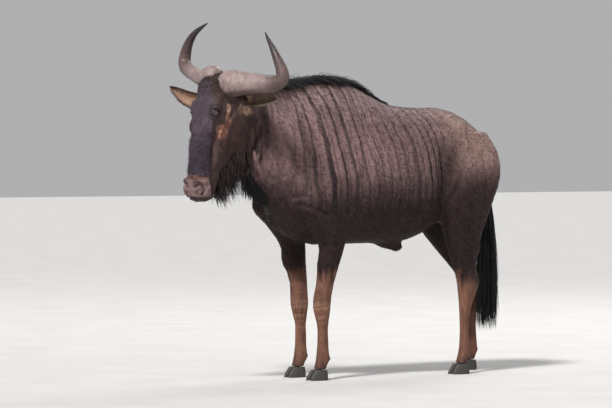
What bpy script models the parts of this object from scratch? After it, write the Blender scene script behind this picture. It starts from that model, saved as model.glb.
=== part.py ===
"""A life-size blue wildebeest bull, standing, with the head turned a little to its left.

Metres, +Z up. The head points along -X and the animal's left side faces -Y.
The flesh is modelled like clay: lofted trunk, head and legs with muscles are fused by a voxel
remesh, smoothed, sculpted with soft strokes and parted into named pieces by thin cuts.
Horns, ears, eyes, claws and hair are solids of their own that meet the flesh face to face.
"""

import math
import random

import bmesh
import bpy
import numpy as np
from mathutils import Matrix, Vector
from mathutils.bvhtree import BVHTree

# Driving sizes of the whole animal, in metres.
WITHERS_HEIGHT = 1.36
CROUP_HEIGHT = 1.232
GAP = 0.0003  # clearance between pieces that meet
BODY_VOXEL = 0.008
HEAD_VOXEL = 0.0042
RANDOM_SEED = 11

# Head pose: the horn line's midpoint, the turn to the left and the roll of the head.
HORN_LINE = Vector((-0.498, -0.050, 1.354))
HEAD_TURN = math.radians(12)
HEAD_ROLL = math.radians(3)

# Foot places.
FOOT_SPREAD_FORE = 0.115
FOOT_SPREAD_HIND = 0.112
RIGHT_HIND_SWING = 0.206  # how far the right hind foot stands behind the left one

# Trunk and neck in upright slices: x, top, bottom, half width, height of the widest point,
# squareness of the upper half and of the lower half (2 is an ellipse).
TRUNK = [
    (-0.540, 1.270, 1.130, 0.042, 1.20, 2.0, 2.0),
    (-0.480, 1.308, 1.050, 0.056, 1.20, 2.0, 2.0),
    (-0.410, 1.320, 0.975, 0.061, 1.19, 2.0, 2.0),
    (-0.350, 1.325, 0.910, 0.070, 1.16, 1.9, 2.0),
    (-0.300, 1.327, 0.850, 0.088, 1.10, 1.8, 2.0),
    (-0.262, 1.328, 0.805, 0.108, 1.05, 1.7, 2.0),
    (-0.210, 1.331, 0.740, 0.134, 0.99, 1.65, 2.1),
    (-0.165, 1.334, 0.680, 0.160, 0.95, 1.6, 2.1),
    (-0.110, 1.338, 0.640, 0.186, 0.93, 1.6, 2.1),
    (0.000, 1.350, 0.608, 0.214, 0.92, 1.55, 2.1),
    (0.120, WITHERS_HEIGHT, 0.604, 0.226, 0.91, 1.5, 2.1),
    (0.210, 1.343, 0.606, 0.236, 0.90, 1.6, 2.1),
    (0.300, 1.296, 0.607, 0.246, 0.90, 1.8, 2.1),
    (0.390, 1.254, 0.606, 0.252, 0.90, 1.95, 2.1),
    (0.500, 1.236, 0.616, 0.250, 0.90, 2.0, 2.1),
    (0.600, 1.230, 0.650, 0.232, 0.93, 2.1, 2.1),
    (0.690, CROUP_HEIGHT, 0.705, 0.214, 0.97, 2.1, 2.1),
    (0.790, 1.206, 0.755, 0.200, 0.98, 2.1, 2.0),
    (0.875, 1.152, 0.790, 0.174, 0.98, 2.1, 2.0),
    (0.940, 1.090, 0.820, 0.136, 0.97, 2.1, 2.0),
    (0.985, 1.020, 0.860, 0.080, 0.96, 2.0, 2.0),
]

# Head in level slices below the horn line: height, front, back (positive is rearward),
# half width at the front half and at the back half, squareness.
HEAD = [
    (0.022, 0.020, 0.070, 0.042, 0.047, 2.0),
    (-0.010, 0.066, 0.105, 0.070, 0.074, 2.2),
    (-0.060, 0.104, 0.140, 0.080, 0.083, 2.4),
    (-0.110, 0.124, 0.158, 0.082, 0.087, 2.5),
    (-0.160, 0.132, 0.168, 0.079, 0.086, 2.5),
    (-0.210, 0.138, 0.164, 0.073, 0.082, 2.5),
    (-0.260, 0.144, 0.142, 0.067, 0.075, 2.5),
    (-0.310, 0.149, 0.108, 0.063, 0.065, 2.5),
    (-0.360, 0.153, 0.064, 0.061, 0.055, 2.6),
    (-0.410, 0.156, 0.022, 0.062, 0.048, 2.6),
    (-0.450, 0.159, -0.008, 0.065, 0.047, 2.8),
    (-0.485, 0.161, -0.028, 0.069, 0.049, 2.9),
    (-0.515, 0.157, -0.038, 0.067, 0.047, 2.7),
    (-0.536, 0.143, -0.050, 0.056, 0.040, 2.4),
    (-0.546, 0.124, -0.068, 0.040, 0.030, 2.0),
]

# Left foreleg in level slices: height, x, y, half length, half width.
FORELEG = [
    (1.080, 0.085, -0.110, 0.085, 0.045),
    (0.960, 0.040, -0.140, 0.115, 0.060),
    (0.850, -0.020, -0.150, 0.125, 0.066),
    (0.760, -0.030, -0.152, 0.125, 0.066),
    (0.690, 0.014, -0.146, 0.100, 0.060),
    (0.610, 0.038, -0.132, 0.066, 0.052),
    (0.520, 0.024, -0.124, 0.055, 0.046),
    (0.430, 0.009, -0.119, 0.044, 0.040),
    (0.375, -0.003, -0.117, 0.044, 0.041),
    (0.335, -0.005, -0.116, 0.045, 0.041),
    (0.295, -0.003, -0.115, 0.038, 0.036),
    (0.250, 0.000, -0.115, 0.0300, 0.0275),
    (0.160, 0.001, -0.115, 0.0290, 0.0265),
    (0.115, 0.001, -0.115, 0.0330, 0.0300),
    (0.085, -0.002, -0.115, 0.0340, 0.0320),
    (0.060, -0.012, -0.115, 0.030, 0.032),
    (0.030, -0.022, -0.115, 0.031, 0.032),
]

# Left hind leg in level slices: height, x, y, half length, half width.
HINDLEG = [
    (1.120, 0.790, -0.090, 0.130, 0.075),
    (1.020, 0.800, -0.112, 0.172, 0.092),
    (0.900, 0.800, -0.122, 0.174, 0.098),
    (0.800, 0.784, -0.128, 0.150, 0.088),
    (0.720, 0.772, -0.130, 0.128, 0.076),
    (0.650, 0.768, -0.129, 0.103, 0.064),
    (0.570, 0.772, -0.126, 0.081, 0.051),
    (0.500, 0.784, -0.122, 0.067, 0.041),
    (0.445, 0.801, -0.119, 0.064, 0.036),
    (0.405, 0.805, -0.117, 0.058, 0.034),
    (0.360, 0.800, -0.115, 0.047, 0.031),
    (0.310, 0.793, -0.113, 0.034, 0.027),
    (0.250, 0.790, -0.112, 0.0270, 0.0240),
    (0.160, 0.790, -0.112, 0.0265, 0.0235),
    (0.115, 0.790, -0.112, 0.030, 0.027),
    (0.085, 0.786, -0.112, 0.032, 0.030),
    (0.060, 0.776, -0.112, 0.030, 0.031),
    (0.030, 0.766, -0.112, 0.031, 0.032),
]

# Claw in level slices: height, toe and heel from the claw's middle, half width.
CORONET = 0.048
CLAW = [
    (0.000, 0.056, 0.036, 0.0180),
    (0.012, 0.054, 0.038, 0.0185),
    (0.030, 0.042, 0.037, 0.0175),
    (CORONET, 0.027, 0.033, 0.0160),
]
CLAW_OFFSET = 0.0195  # from the foot's midline to each claw's middle

# Horns in the head's level frame: side, back, up, radius. The two have grown a little unlike.
HORNS = {
    "left": [
        (0.010, -0.008, -0.018, 0.0380),
        (0.022, -0.006, -0.019, 0.0500),
        (0.045, -0.003, -0.020, 0.0570),
        (0.080, 0.002, -0.020, 0.0575),
        (0.120, 0.012, -0.018, 0.0520),
        (0.165, 0.024, -0.017, 0.0455),
        (0.212, 0.036, -0.017, 0.0405),
        (0.260, 0.050, -0.018, 0.0365),
        (0.299, 0.063, -0.005, 0.0335),
        (0.314, 0.070, 0.020, 0.0300),
        (0.306, 0.070, 0.052, 0.0262),
        (0.289, 0.066, 0.086, 0.0218),
        (0.267, 0.064, 0.122, 0.0170),
        (0.239, 0.067, 0.158, 0.0120),
        (0.208, 0.074, 0.188, 0.0075),
        (0.182, 0.085, 0.211, 0.0025),
    ],
    "right": [
        (0.010, -0.008, -0.004, 0.0380),
        (0.022, -0.006, -0.004, 0.0480),
        (0.045, -0.003, -0.004, 0.0530),
        (0.075, 0.002, -0.003, 0.0490),
        (0.108, 0.009, -0.004, 0.0385),
        (0.150, 0.018, -0.003, 0.0325),
        (0.205, 0.032, 0.011, 0.0310),
        (0.256, 0.048, 0.024, 0.0312),
        (0.292, 0.060, 0.040, 0.0300),
        (0.308, 0.067, 0.066, 0.0282),
        (0.304, 0.068, 0.097, 0.0258),
        (0.290, 0.064, 0.129, 0.0222),
        (0.269, 0.062, 0.163, 0.0178),
        (0.240, 0.064, 0.196, 0.0128),
        (0.208, 0.070, 0.220, 0.0080),
        (0.181, 0.080, 0.240, 0.0025),
    ],
}

# Ear: root and tip in the head's level frame (side, back, up), and its widths.
EAR_ROOTS = {"left": (0.078, 0.058, -0.100), "right": (0.078, 0.058, -0.102)}
EAR_TIPS = {"left": (0.280, 0.066, -0.082), "right": (0.300, -0.028, -0.052)}
EAR_BENDS = {"left": 0.012, "right": -0.029}  # rise of the ear's middle above the line from root to tip
EAR_HALF_WIDTH = 0.037
EAR_WALL = 0.007
EAR_CUP = 0.030


# Eye: place in the head's level frame (side, front, up) and ball radius.
EYE_PLACE = (0.058, 0.093, -0.150)
EYE_RADIUS = 0.0215

COLOURS = {
    "hide": (0.105, 0.072, 0.060, 0.75),
    "horn": (0.150, 0.120, 0.110, 0.45),
    "hair": (0.014, 0.012, 0.015, 0.60),
    "claw": (0.040, 0.034, 0.032, 0.50),
    "eye": (0.018, 0.010, 0.007, 0.10),
    "ear": (0.220, 0.140, 0.095, 0.80),
}


def smooth(t):
    """0 to 1 with soft ends."""
    t = np.clip(t, 0.0, 1.0)
    return t * t * (3 - 2 * t)


def dense_rows(rows, step):
    """Rows of a size table read off smooth curves, at a spacing of about step."""
    table = np.array(rows, float)
    reach = np.abs(np.diff(table[:, 0]))
    along = np.concatenate([[0], np.cumsum(np.maximum(reach, 1e-6))])
    count = max(len(rows), int(along[-1] / step) + 1)
    at = np.linspace(0, along[-1], count)
    slope = np.gradient(table, along, axis=0)
    k = np.clip(np.searchsorted(along, at, side="right") - 1, 0, len(along) - 2)
    h = (along[k + 1] - along[k])[:, None]
    t = ((at - along[k]) / (along[k + 1] - along[k]))[:, None]
    return (
        (2 * t**3 - 3 * t**2 + 1) * table[k]
        + (t**3 - 2 * t**2 + t) * h * slope[k]
        + (3 * t**2 - 2 * t**3) * table[k + 1]
        + (t**3 - t**2) * h * slope[k + 1]
    )


def material(kind):
    found = bpy.data.materials.get(kind)
    if found:
        return found
    made = bpy.data.materials.new(kind)
    made.use_nodes = True
    shader = made.node_tree.nodes["Principled BSDF"]
    shader.inputs["Base Color"].default_value = (*COLOURS[kind][:3], 1)
    shader.inputs["Roughness"].default_value = COLOURS[kind][3]
    made.diffuse_color = (*COLOURS[kind][:3], 1)
    return made


def new_object(name, mesh):
    obj = bpy.data.objects.new(name, mesh)
    bpy.context.scene.collection.objects.link(obj)
    return obj


def remove(obj):
    mesh = obj.data
    bpy.data.objects.remove(obj)
    bpy.data.meshes.remove(mesh)


def solid(name, points, faces):
    """A mesh object with its faces turned outwards."""
    mesh = bpy.data.meshes.new(name)
    mesh.from_pydata([tuple(p) for p in points], [], faces)
    shell = bmesh.new()
    shell.from_mesh(mesh)
    bmesh.ops.recalc_face_normals(shell, faces=shell.faces)
    shell.to_mesh(mesh)
    shell.free()
    return new_object(name, mesh)


def loft(name, rings):
    """A skin over rings of equal count, closed by a fan at each end."""
    count = len(rings[0])
    points = [tuple(p) for ring in rings for p in ring]
    faces = []
    for k in range(len(rings) - 1):
        a = k * count
        for i in range(count):
            j = (i + 1) % count
            faces.append((a + i, a + j, a + count + j, a + count + i))
    for k in (0, len(rings) - 1):
        middle = len(points)
        points.append(tuple(np.mean(np.array(rings[k], float), axis=0)))
        faces += [(middle, k * count + i, k * count + (i + 1) % count) for i in range(count)]
    return solid(name, points, faces)


def oval(angle, squareness):
    """Cosine and sine of a superellipse at this angle."""
    power = 2 / squareness
    c, s = math.cos(angle), math.sin(angle)
    return math.copysign(abs(c) ** power, c), math.copysign(abs(s) ** power, s)


def angles(count):
    return [2 * math.pi * i / count for i in range(count)]


def neck_sway(x):
    """How far the neck's middle lies off the midline (negative is to the left)."""
    return float(-0.052 * smooth((-x - 0.10) / 0.38))


def trunk_form(first_x=-1.0, last_x=2.0, sides=56):
    rings = []
    for x, top, bottom, wide, middle, upper, lower in dense_rows(TRUNK, 0.018):
        if not first_x <= x <= last_x:
            continue
        sway = neck_sway(x)
        ring = []
        for angle in angles(sides):
            c, s = oval(angle, upper if math.sin(angle) > 0 else lower)
            height = (top - middle) if s > 0 else (middle - bottom)
            ring.append((x, sway + wide * c, middle + height * s))
        rings.append(ring)
    return loft("trunk", rings)


def head_matrix():
    """From the head's level frame (side to the left, back, up) to the animal's frame."""
    turn = Matrix.Rotation(HEAD_TURN, 4, "Z")
    roll = Matrix.Rotation(HEAD_ROLL, 4, "X")
    return Matrix.Translation(HORN_LINE) @ turn @ roll


HEAD_FRAME = head_matrix()


def on_head(side, back, up):
    """A point given by its distance to the left, rearward and up from the horn line's middle."""
    return HEAD_FRAME @ Vector((back, -side, up))


def head_form(sides=48):
    rings = []
    for up, front, back, front_wide, back_wide, square in dense_rows(HEAD, 0.012):
        middle = (back - front) / 2
        half = (back + front) / 2
        ring = []
        for angle in angles(sides):
            c, s = oval(angle, square)
            wide = front_wide if c < 0 else back_wide
            ring.append(on_head(wide * s, middle + half * c, up))
        rings.append(ring)
    return loft("head", rings)


def leg_form(name, rows, side, shift, sides=28):
    """A leg in level slices. side is -1 for the left; shift(height) moves a slice along X."""
    rings = []
    for height, x, y, half_length, half_width in dense_rows(rows, 0.014):
        ring = []
        for angle in angles(sides):
            c, s = oval(angle, 2.15)
            ring.append((x + shift(height) + half_length * c, -side * y + half_width * s, height))
        rings.append(ring)
    return loft(name, rings)


def fore_shift(side):
    if side < 0:
        return lambda height: 0.0
    return lambda height: float(
        0.032 - 0.075 * smooth((height - 0.33) / 0.32) + 0.043 * smooth((height - 0.80) / 0.20)
    )


def hind_shift(side):
    if side < 0:
        return lambda height: 0.0
    return lambda height: RIGHT_HIND_SWING * float(smooth((0.84 - height) / 0.52))


def ball(name, centre, radii, turn=(0, 0, 0), detail=3):
    """An ellipsoid; turn is in degrees about X, Y and Z."""
    shell = bmesh.new()
    bmesh.ops.create_icosphere(shell, subdivisions=detail, radius=1.0)
    place = Matrix.Translation(centre)
    for axis, degrees in zip("XYZ", turn):
        place = place @ Matrix.Rotation(math.radians(degrees), 4, axis)
    place = place @ Matrix.Diagonal((*radii, 1))
    bmesh.ops.transform(shell, matrix=place, verts=shell.verts)
    mesh = bpy.data.meshes.new(name)
    shell.to_mesh(mesh)
    shell.free()
    return new_object(name, mesh)


def head_ball(name, place, radii, turn=(0, 0, 0)):
    """An ellipsoid placed by side, back and up on the head; its radii are back, side and up."""
    made = ball(name, (0, 0, 0), radii, turn)
    side, back, up = place
    made.data.transform(HEAD_FRAME @ Matrix.Translation((back, -side, up)))
    return made


def muscles():
    """Shoulder, forearm, haunch and gaskin masses on both sides, breast and sheath."""
    forms = []
    for side, name in ((1, "left"), (-1, "right")):
        y = -side
        fore = fore_shift(-side)(0.70)
        hind = hind_shift(-side)(0.62)
        forms += [
            ball(name, (0.085, y * 0.108, 1.08), (0.085, 0.060, 0.200), (y * 15, 16, 0)),
            ball(name, (-0.075, y * 0.128, 0.860), (0.095, 0.070, 0.130), (0, -28, 0)),
            ball(name, (0.085 + fore, y * 0.158, 0.790), (0.095, 0.052, 0.120), (0, 35, 0)),
            ball(name, (0.088 + fore, y * 0.138, 0.690), (0.034, 0.034, 0.046)),
            ball(name, (0.034 + fore, y * 0.136, 0.600), (0.044, 0.044, 0.120), (0, 8, 0)),
            ball(name, (0.720, y * 0.118, 1.070), (0.130, 0.075, 0.110), (y * 10, 20, 0)),
            ball(name, (0.835, y * 0.112, 0.930), (0.140, 0.088, 0.170), (0, 12, 0)),
            ball(name, (0.705, y * 0.140, 0.790), (0.085, 0.062, 0.140), (0, -24, 0)),
            ball(name, (0.800 + hind * 0.8, y * 0.130, 0.620), (0.060, 0.046, 0.110), (0, -14, 0)),
            ball(name, (0.560, y * 0.130, 0.840), (0.120, 0.080, 0.150), (0, 30, 0)),
        ]
    forms += [
        ball("breast", (-0.130, 0, 0.770), (0.080, 0.095, 0.110), (0, 22, 0)),
        ball("sheath", (0.430, 0, 0.606), (0.100, 0.028, 0.028), (0, 12, 0)),
        ball("sheath_tip", (0.478, 0, 0.592), (0.036, 0.019, 0.028), (0, 30, 0)),
        ball("hump", (0.105, 0, 1.275), (0.180, 0.062, 0.080), (0, 4, 0)),
    ]
    return forms


def head_forms():
    """Brows, cheeks, nose, lips and ear bases laid over the head's loft."""
    forms = [head_form()]
    for side in (1, -1):
        forms += [
            head_ball("orbit", (side * 0.060, -0.083, -0.144), (0.043, 0.026, 0.044)),
            head_ball("brow", (side * 0.062, -0.087, -0.118), (0.037, 0.021, 0.013), (0, -16, 0)),
            head_ball("cheek", (side * 0.052, 0.062, -0.205), (0.098, 0.043, 0.100), (0, 20, 0)),
            head_ball("ear_base", (side * 0.078, 0.052, -0.098), (0.040, 0.034, 0.034)),
            head_ball("tear", (side * 0.047, -0.092, -0.214), (0.040, 0.022, 0.054), (0, -8, 0)),
            head_ball("nostril", (side * 0.046, -0.122, -0.485), (0.036, 0.029, 0.036)),
            head_ball("upper_lip", (side * 0.042, -0.098, -0.516), (0.044, 0.027, 0.019)),
            head_ball("jaw", (side * 0.030, 0.006, -0.345), (0.036, 0.027, 0.110), (0, 40, 0)),
        ]
    forms += [
        head_ball("nose", (0, -0.118, -0.350), (0.040, 0.046, 0.150), (0, -5, 0)),
        head_ball("chin", (0, -0.072, -0.522), (0.036, 0.036, 0.022)),
        head_ball("forehead", (0, -0.066, -0.060), (0.052, 0.060, 0.070)),
    ]
    return forms


def fused(name, forms, voxel, rounds):
    """Overlapping forms as one closed skin: joined, remeshed at this voxel and smoothed."""
    shell = bmesh.new()
    for form in forms:
        shell.from_mesh(form.data)
    for form in set(forms):
        remove(form)
    mesh = bpy.data.meshes.new(name)
    shell.to_mesh(mesh)
    shell.free()
    obj = new_object(name, mesh)
    remesh = obj.modifiers.new("remesh", "REMESH")
    remesh.mode = "VOXEL"
    remesh.voxel_size = voxel
    relax = obj.modifiers.new("relax", "SMOOTH")
    relax.factor = 0.5
    relax.iterations = rounds
    return bake_modifiers(obj)


def bake_modifiers(obj):
    graph = bpy.context.evaluated_depsgraph_get()
    graph.update()
    made = bpy.data.meshes.new_from_object(obj.evaluated_get(graph))
    old = obj.data
    obj.modifiers.clear()
    obj.data = made
    bpy.data.meshes.remove(old)
    return obj


def coordinates(obj):
    flat = np.empty(len(obj.data.vertices) * 3)
    obj.data.vertices.foreach_get("co", flat)
    return flat.reshape(-1, 3)


def normals(obj):
    flat = np.empty(len(obj.data.vertices) * 3)
    obj.data.vertices.foreach_get("normal", flat)
    return flat.reshape(-1, 3)


def set_coordinates(obj, points):
    obj.data.vertices.foreach_set("co", np.ascontiguousarray(points, np.float32).ravel())
    obj.data.update()


def stroke_distance(points, path):
    """Distance of each point from a polyline."""
    nearest = np.full(len(points), np.inf)
    for a, b in zip(path[:-1], path[1:]):
        a, b = np.array(a, float), np.array(b, float)
        along = b - a
        t = np.clip((points - a) @ along / max(along @ along, 1e-12), 0, 1)
        nearest = np.minimum(nearest, np.linalg.norm(points - a - t[:, None] * along, axis=1))
    return nearest


def stroke(obj, path, width, height):
    """Raises (or sinks, where height is negative) the surface along a path, softly."""
    points = coordinates(obj)
    fall = np.exp(-((stroke_distance(points, path) / width) ** 2))
    set_coordinates(obj, points + normals(obj) * (height * fall)[:, None])


def both_sides(path):
    return [path, [(x, -y, z) for x, y, z in path]]


def sculpt_body(obj):
    """Muscle edges and hollows of trunk and legs."""
    lines = [
        ([(-0.03, -0.20, 1.20), (-0.12, -0.20, 1.02), (-0.19, -0.18, 0.88)], 0.022, -0.007),
        ([(0.17, -0.24, 1.16), (0.16, -0.24, 0.98), (0.17, -0.24, 0.80)], 0.035, -0.009),
        ([(0.62, -0.24, 1.02), (0.61, -0.22, 0.88), (0.63, -0.20, 0.76)], 0.040, -0.014),
        ([(0.93, -0.17, 1.00), (0.86, -0.20, 0.86), (0.83, -0.19, 0.72)], 0.024, -0.006),
        ([(-0.26, -0.10, 0.92), (-0.30, -0.10, 1.05)], 0.028, -0.006),
    ]
    for path, width, height in lines:
        for line in both_sides(path):
            stroke(obj, line, width, height)
    for side in (-1, 1):
        fore = fore_shift(side)
        hind = hind_shift(side)
        tendons = [
            ([(0.034 + fore(0.4), side * 0.117, 0.29), (0.026 + fore(0.2), side * 0.115, 0.15)], 0.008, 0.004),
            ([(0.002 + fore(0.2), side * 0.092, 0.27), (0.004 + fore(0.2), side * 0.092, 0.13)], 0.006, -0.003),
            ([(0.002 + fore(0.2), side * 0.138, 0.27), (0.004 + fore(0.2), side * 0.138, 0.13)], 0.006, -0.003),
            ([(0.828 + hind(0.52), side * 0.150, 0.56), (0.833 + hind(0.47), side * 0.140, 0.47)], 0.013, -0.010),
            ([(0.828 + hind(0.52), side * 0.098, 0.56), (0.833 + hind(0.47), side * 0.104, 0.47)], 0.013, -0.010),
            ([(0.866 + hind(0.45), side * 0.118, 0.455), (0.857 + hind(0.4), side * 0.117, 0.40)], 0.014, 0.007),
            ([(0.793 + hind(0.2), side * 0.090, 0.30), (0.795 + hind(0.15), side * 0.090, 0.13)], 0.006, -0.003),
            ([(0.793 + hind(0.2), side * 0.136, 0.30), (0.795 + hind(0.15), side * 0.136, 0.13)], 0.006, -0.003),
        ]
        for path, width, height in tendons:
            stroke(obj, path, width, height)
        for middle, shift in ((-0.002, fore), (0.786, hind)):
            for inner in (-0.016, 0.016):
                claw = (middle + 0.034 + shift(0.09), side * 0.1135 + inner, 0.098)
                stroke(obj, [claw, (claw[0] + 0.004, claw[1], 0.086)], 0.010, 0.009)
            cleft = (middle - 0.040 + shift(0.05), side * 0.1135, 0.045)
            stroke(obj, [cleft, (cleft[0] + 0.012, cleft[1], 0.090)], 0.009, -0.008)


def sculpt_head(obj):
    """Tear hollow, nostrils, lips, lids and the hollow above the eye."""
    for side in (1, -1):
        strokes = [
            ([(0.072, -0.088, -0.192), (0.068, -0.094, -0.222), (0.064, -0.098, -0.246)], 0.010, -0.004),
            ([(0.082, -0.060, -0.108), (0.084, -0.030, -0.120)], 0.016, -0.007),
            ([(0.074, -0.012, -0.165), (0.066, -0.040, -0.262)], 0.014, -0.005),
            ([(0.058, -0.075, -0.300), (0.054, -0.085, -0.400), (0.058, -0.080, -0.450)], 0.016, -0.006),
            ([(0.034, -0.160, -0.508), (0.050, -0.152, -0.496), (0.062, -0.138, -0.480),
              (0.070, -0.120, -0.468), (0.072, -0.106, -0.470)], 0.0080, -0.015),
            ([(0.056, -0.142, -0.512), (0.068, -0.126, -0.500)], 0.0090, 0.006),
            ([(0.028, -0.166, -0.482), (0.054, -0.154, -0.462), (0.070, -0.122, -0.448)], 0.008, 0.005),
            ([(0.030, -0.158, -0.440), (0.056, -0.140, -0.436)], 0.006, -0.003),
            ([(0.086, 0.020, -0.275), (0.060, 0.090, -0.300), (0.050, 0.130, -0.270)], 0.012, 0.005),
            ([(0.096, 0.110, -0.130), (0.100, 0.150, -0.190), (0.080, 0.142, -0.262)], 0.016, 0.006),
            ([(0.088, 0.150, -0.120), (0.088, 0.192, -0.200), (0.072, 0.190, -0.290)], 0.015, -0.009),
            ([(0.006, -0.150, -0.538), (0.040, -0.126, -0.532), (0.058, -0.092, -0.514),
              (0.054, -0.060, -0.492)], 0.0045, -0.006),
            ([(0.054, -0.060, -0.492), (0.052, -0.044, -0.476)], 0.004, -0.004),
        ]
        for path, width, height in strokes:
            stroke(obj, [on_head(side * a, b, c) for a, b, c in path], width, height)
    stroke(obj, [on_head(0, -0.166, -0.470), on_head(0, -0.164, -0.520)], 0.006, -0.004)


def socket_sculpt(obj):
    """Presses the skin round each eye to the ball and raises its two lids."""
    for side in (1, -1):
        points = coordinates(obj)
        centre = np.array(on_head(side * EYE_PLACE[0], -EYE_PLACE[1], EYE_PLACE[2]))
        away = points - centre
        reach = np.linalg.norm(away, axis=1)
        outward = away / np.maximum(reach, 1e-9)[:, None]
        axes = np.array(HEAD_FRAME.to_3x3())
        local = outward @ axes
        look = -side * local[:, 1]
        slot_up = np.abs(local[:, 2] + 0.10) / 0.46
        slot_long = np.abs(local[:, 0] + 0.10) / 0.80
        opening = slot_up**2 + slot_long**2
        inside = smooth((1.25 - opening) / 0.5) * (look > 0.2)
        rim = np.exp(-(((np.sqrt(opening) - 1.14) / 0.20) ** 2)) * (look > 0.2)
        target = EYE_RADIUS - 0.004 * inside + 0.0045 * rim
        pull = smooth((2.6 - opening) / 1.0) * (look > 0.2) * (reach < EYE_RADIUS * 2.2)
        wanted = reach + (target - reach) * pull
        set_coordinates(obj, centre + outward * wanted[:, None])


def decimated(obj, triangles):
    shell = bmesh.new()
    shell.from_mesh(obj.data)
    bmesh.ops.triangulate(shell, faces=shell.faces)
    count = len(shell.faces)
    shell.to_mesh(obj.data)
    shell.free()
    shrink = obj.modifiers.new("decimate", "DECIMATE")
    shrink.ratio = min(1.0, triangles / count)
    return bake_modifiers(obj)


def duplicate(obj, name):
    return new_object(name, obj.data.copy())


def combined(obj, operation, others, solver="MANIFOLD"):
    """One Boolean of obj with a list of closed objects, applied; the others are removed."""
    group = bpy.data.collections.new("group")
    bpy.context.scene.collection.children.link(group)
    for other in others:
        bpy.context.scene.collection.objects.unlink(other)
        group.objects.link(other)
    tool = obj.modifiers.new("boolean", "BOOLEAN")
    tool.operation = operation
    tool.solver = solver
    tool.operand_type = "COLLECTION"
    tool.collection = group
    bake_modifiers(obj)
    for other in others:
        remove(other)
    bpy.data.collections.remove(group)
    return keep_largest(obj)


def keep_largest(obj):
    """Keeps the largest closed surface and drops loose scraps and slivers."""
    shell = bmesh.new()
    shell.from_mesh(obj.data)
    bmesh.ops.remove_doubles(shell, verts=shell.verts, dist=1e-6)
    bmesh.ops.triangulate(shell, faces=shell.faces)
    left = set(shell.verts)
    groups = []
    while left:
        start = left.pop()
        group, edge = {start}, [start]
        while edge:
            vert = edge.pop()
            for link in vert.link_edges:
                other = link.other_vert(vert)
                if other in left:
                    left.discard(other)
                    group.add(other)
                    edge.append(other)
        groups.append(group)

    def volume(group):
        faces = {face for vert in group for face in vert.link_faces}
        return abs(sum(f.verts[0].co.dot(f.verts[1].co.cross(f.verts[2].co)) for f in faces))

    best = max(groups, key=volume)
    bmesh.ops.delete(shell, geom=[v for v in shell.verts if v not in best], context="VERTS")
    shell.to_mesh(obj.data)
    shell.free()
    return obj


def swollen(obj, name, amount):
    """A copy with its surface moved out by this much, to cut a neighbour clear of it."""
    made = duplicate(obj, name)
    points, outward = coordinates(obj), normals(obj)
    set_coordinates(made, points + outward * amount)
    return made


def prism(name, corners, axis, low, high):
    """A closed block: a flat outline in the two other axes, drawn out along this axis."""
    others = [k for k in range(3) if k != axis]
    rings = []
    for level in (low, high):
        ring = []
        for corner in corners:
            point = [0.0, 0.0, 0.0]
            point[others[0]], point[others[1]] = corner
            point[axis] = level
            ring.append(point)
        rings.append(ring)
    count = len(corners)
    points = rings[0] + rings[1]
    faces = [tuple(range(count))[::-1], tuple(range(count, 2 * count))]
    faces += [(i, (i + 1) % count, count + (i + 1) % count, count + i) for i in range(count)]
    return solid(name, points, faces)


def grown(corners, amount):
    """A flat convex outline moved outwards by this much."""
    centre = np.mean(np.array(corners, float), axis=0)
    loop = np.array(corners, float)
    moved = []
    for i in range(len(loop)):
        before, here, after = loop[i - 1], loop[i], loop[(i + 1) % len(loop)]
        sides = []
        for a, b in ((before, here), (here, after)):
            along = (b - a) / np.linalg.norm(b - a)
            out = np.array((along[1], -along[0]))
            if out @ (here - centre) < 0:
                out = -out
            sides.append(out)
        shift = sides[0] + sides[1]
        moved.append(tuple(here + shift * amount / (1 + sides[0] @ sides[1])))
    return moved


# Outlines of the cutting blocks. A block cuts its piece out of the clay, and the same block
# grown by GAP clears the neighbour.
HEAD_CUT_X = -0.300
NECK_CUT = [(HEAD_CUT_X, 1.60), (0.020, 1.60), (0.020, 1.400), (-0.268, 0.800), (HEAD_CUT_X, 0.70)]
FORE_CUT = [(-0.30, -0.02), (-0.30, 0.780), (-0.205, 0.705), (-0.050, 0.582), (-0.035, -0.02)]
HIND_CUT = [(-0.34, -0.02), (-0.34, 0.800), (-0.210, 0.750), (-0.020, 0.640), (-0.004, -0.02)]


def leg_cutter(name, side, outline, low, high, extra=0.0):
    corners = [(-side * y, z) for y, z in (grown(outline, extra) if extra else outline)]
    return prism(name, corners, 0, low - extra, high + extra)


def finish(obj, name, kind):
    obj.name = name
    obj.data.name = name
    obj.data.materials.clear()
    obj.data.materials.append(material(kind))
    obj.data.shade_smooth()
    obj.data.set_sharp_from_angle(angle=math.radians(50))
    return obj


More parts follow.
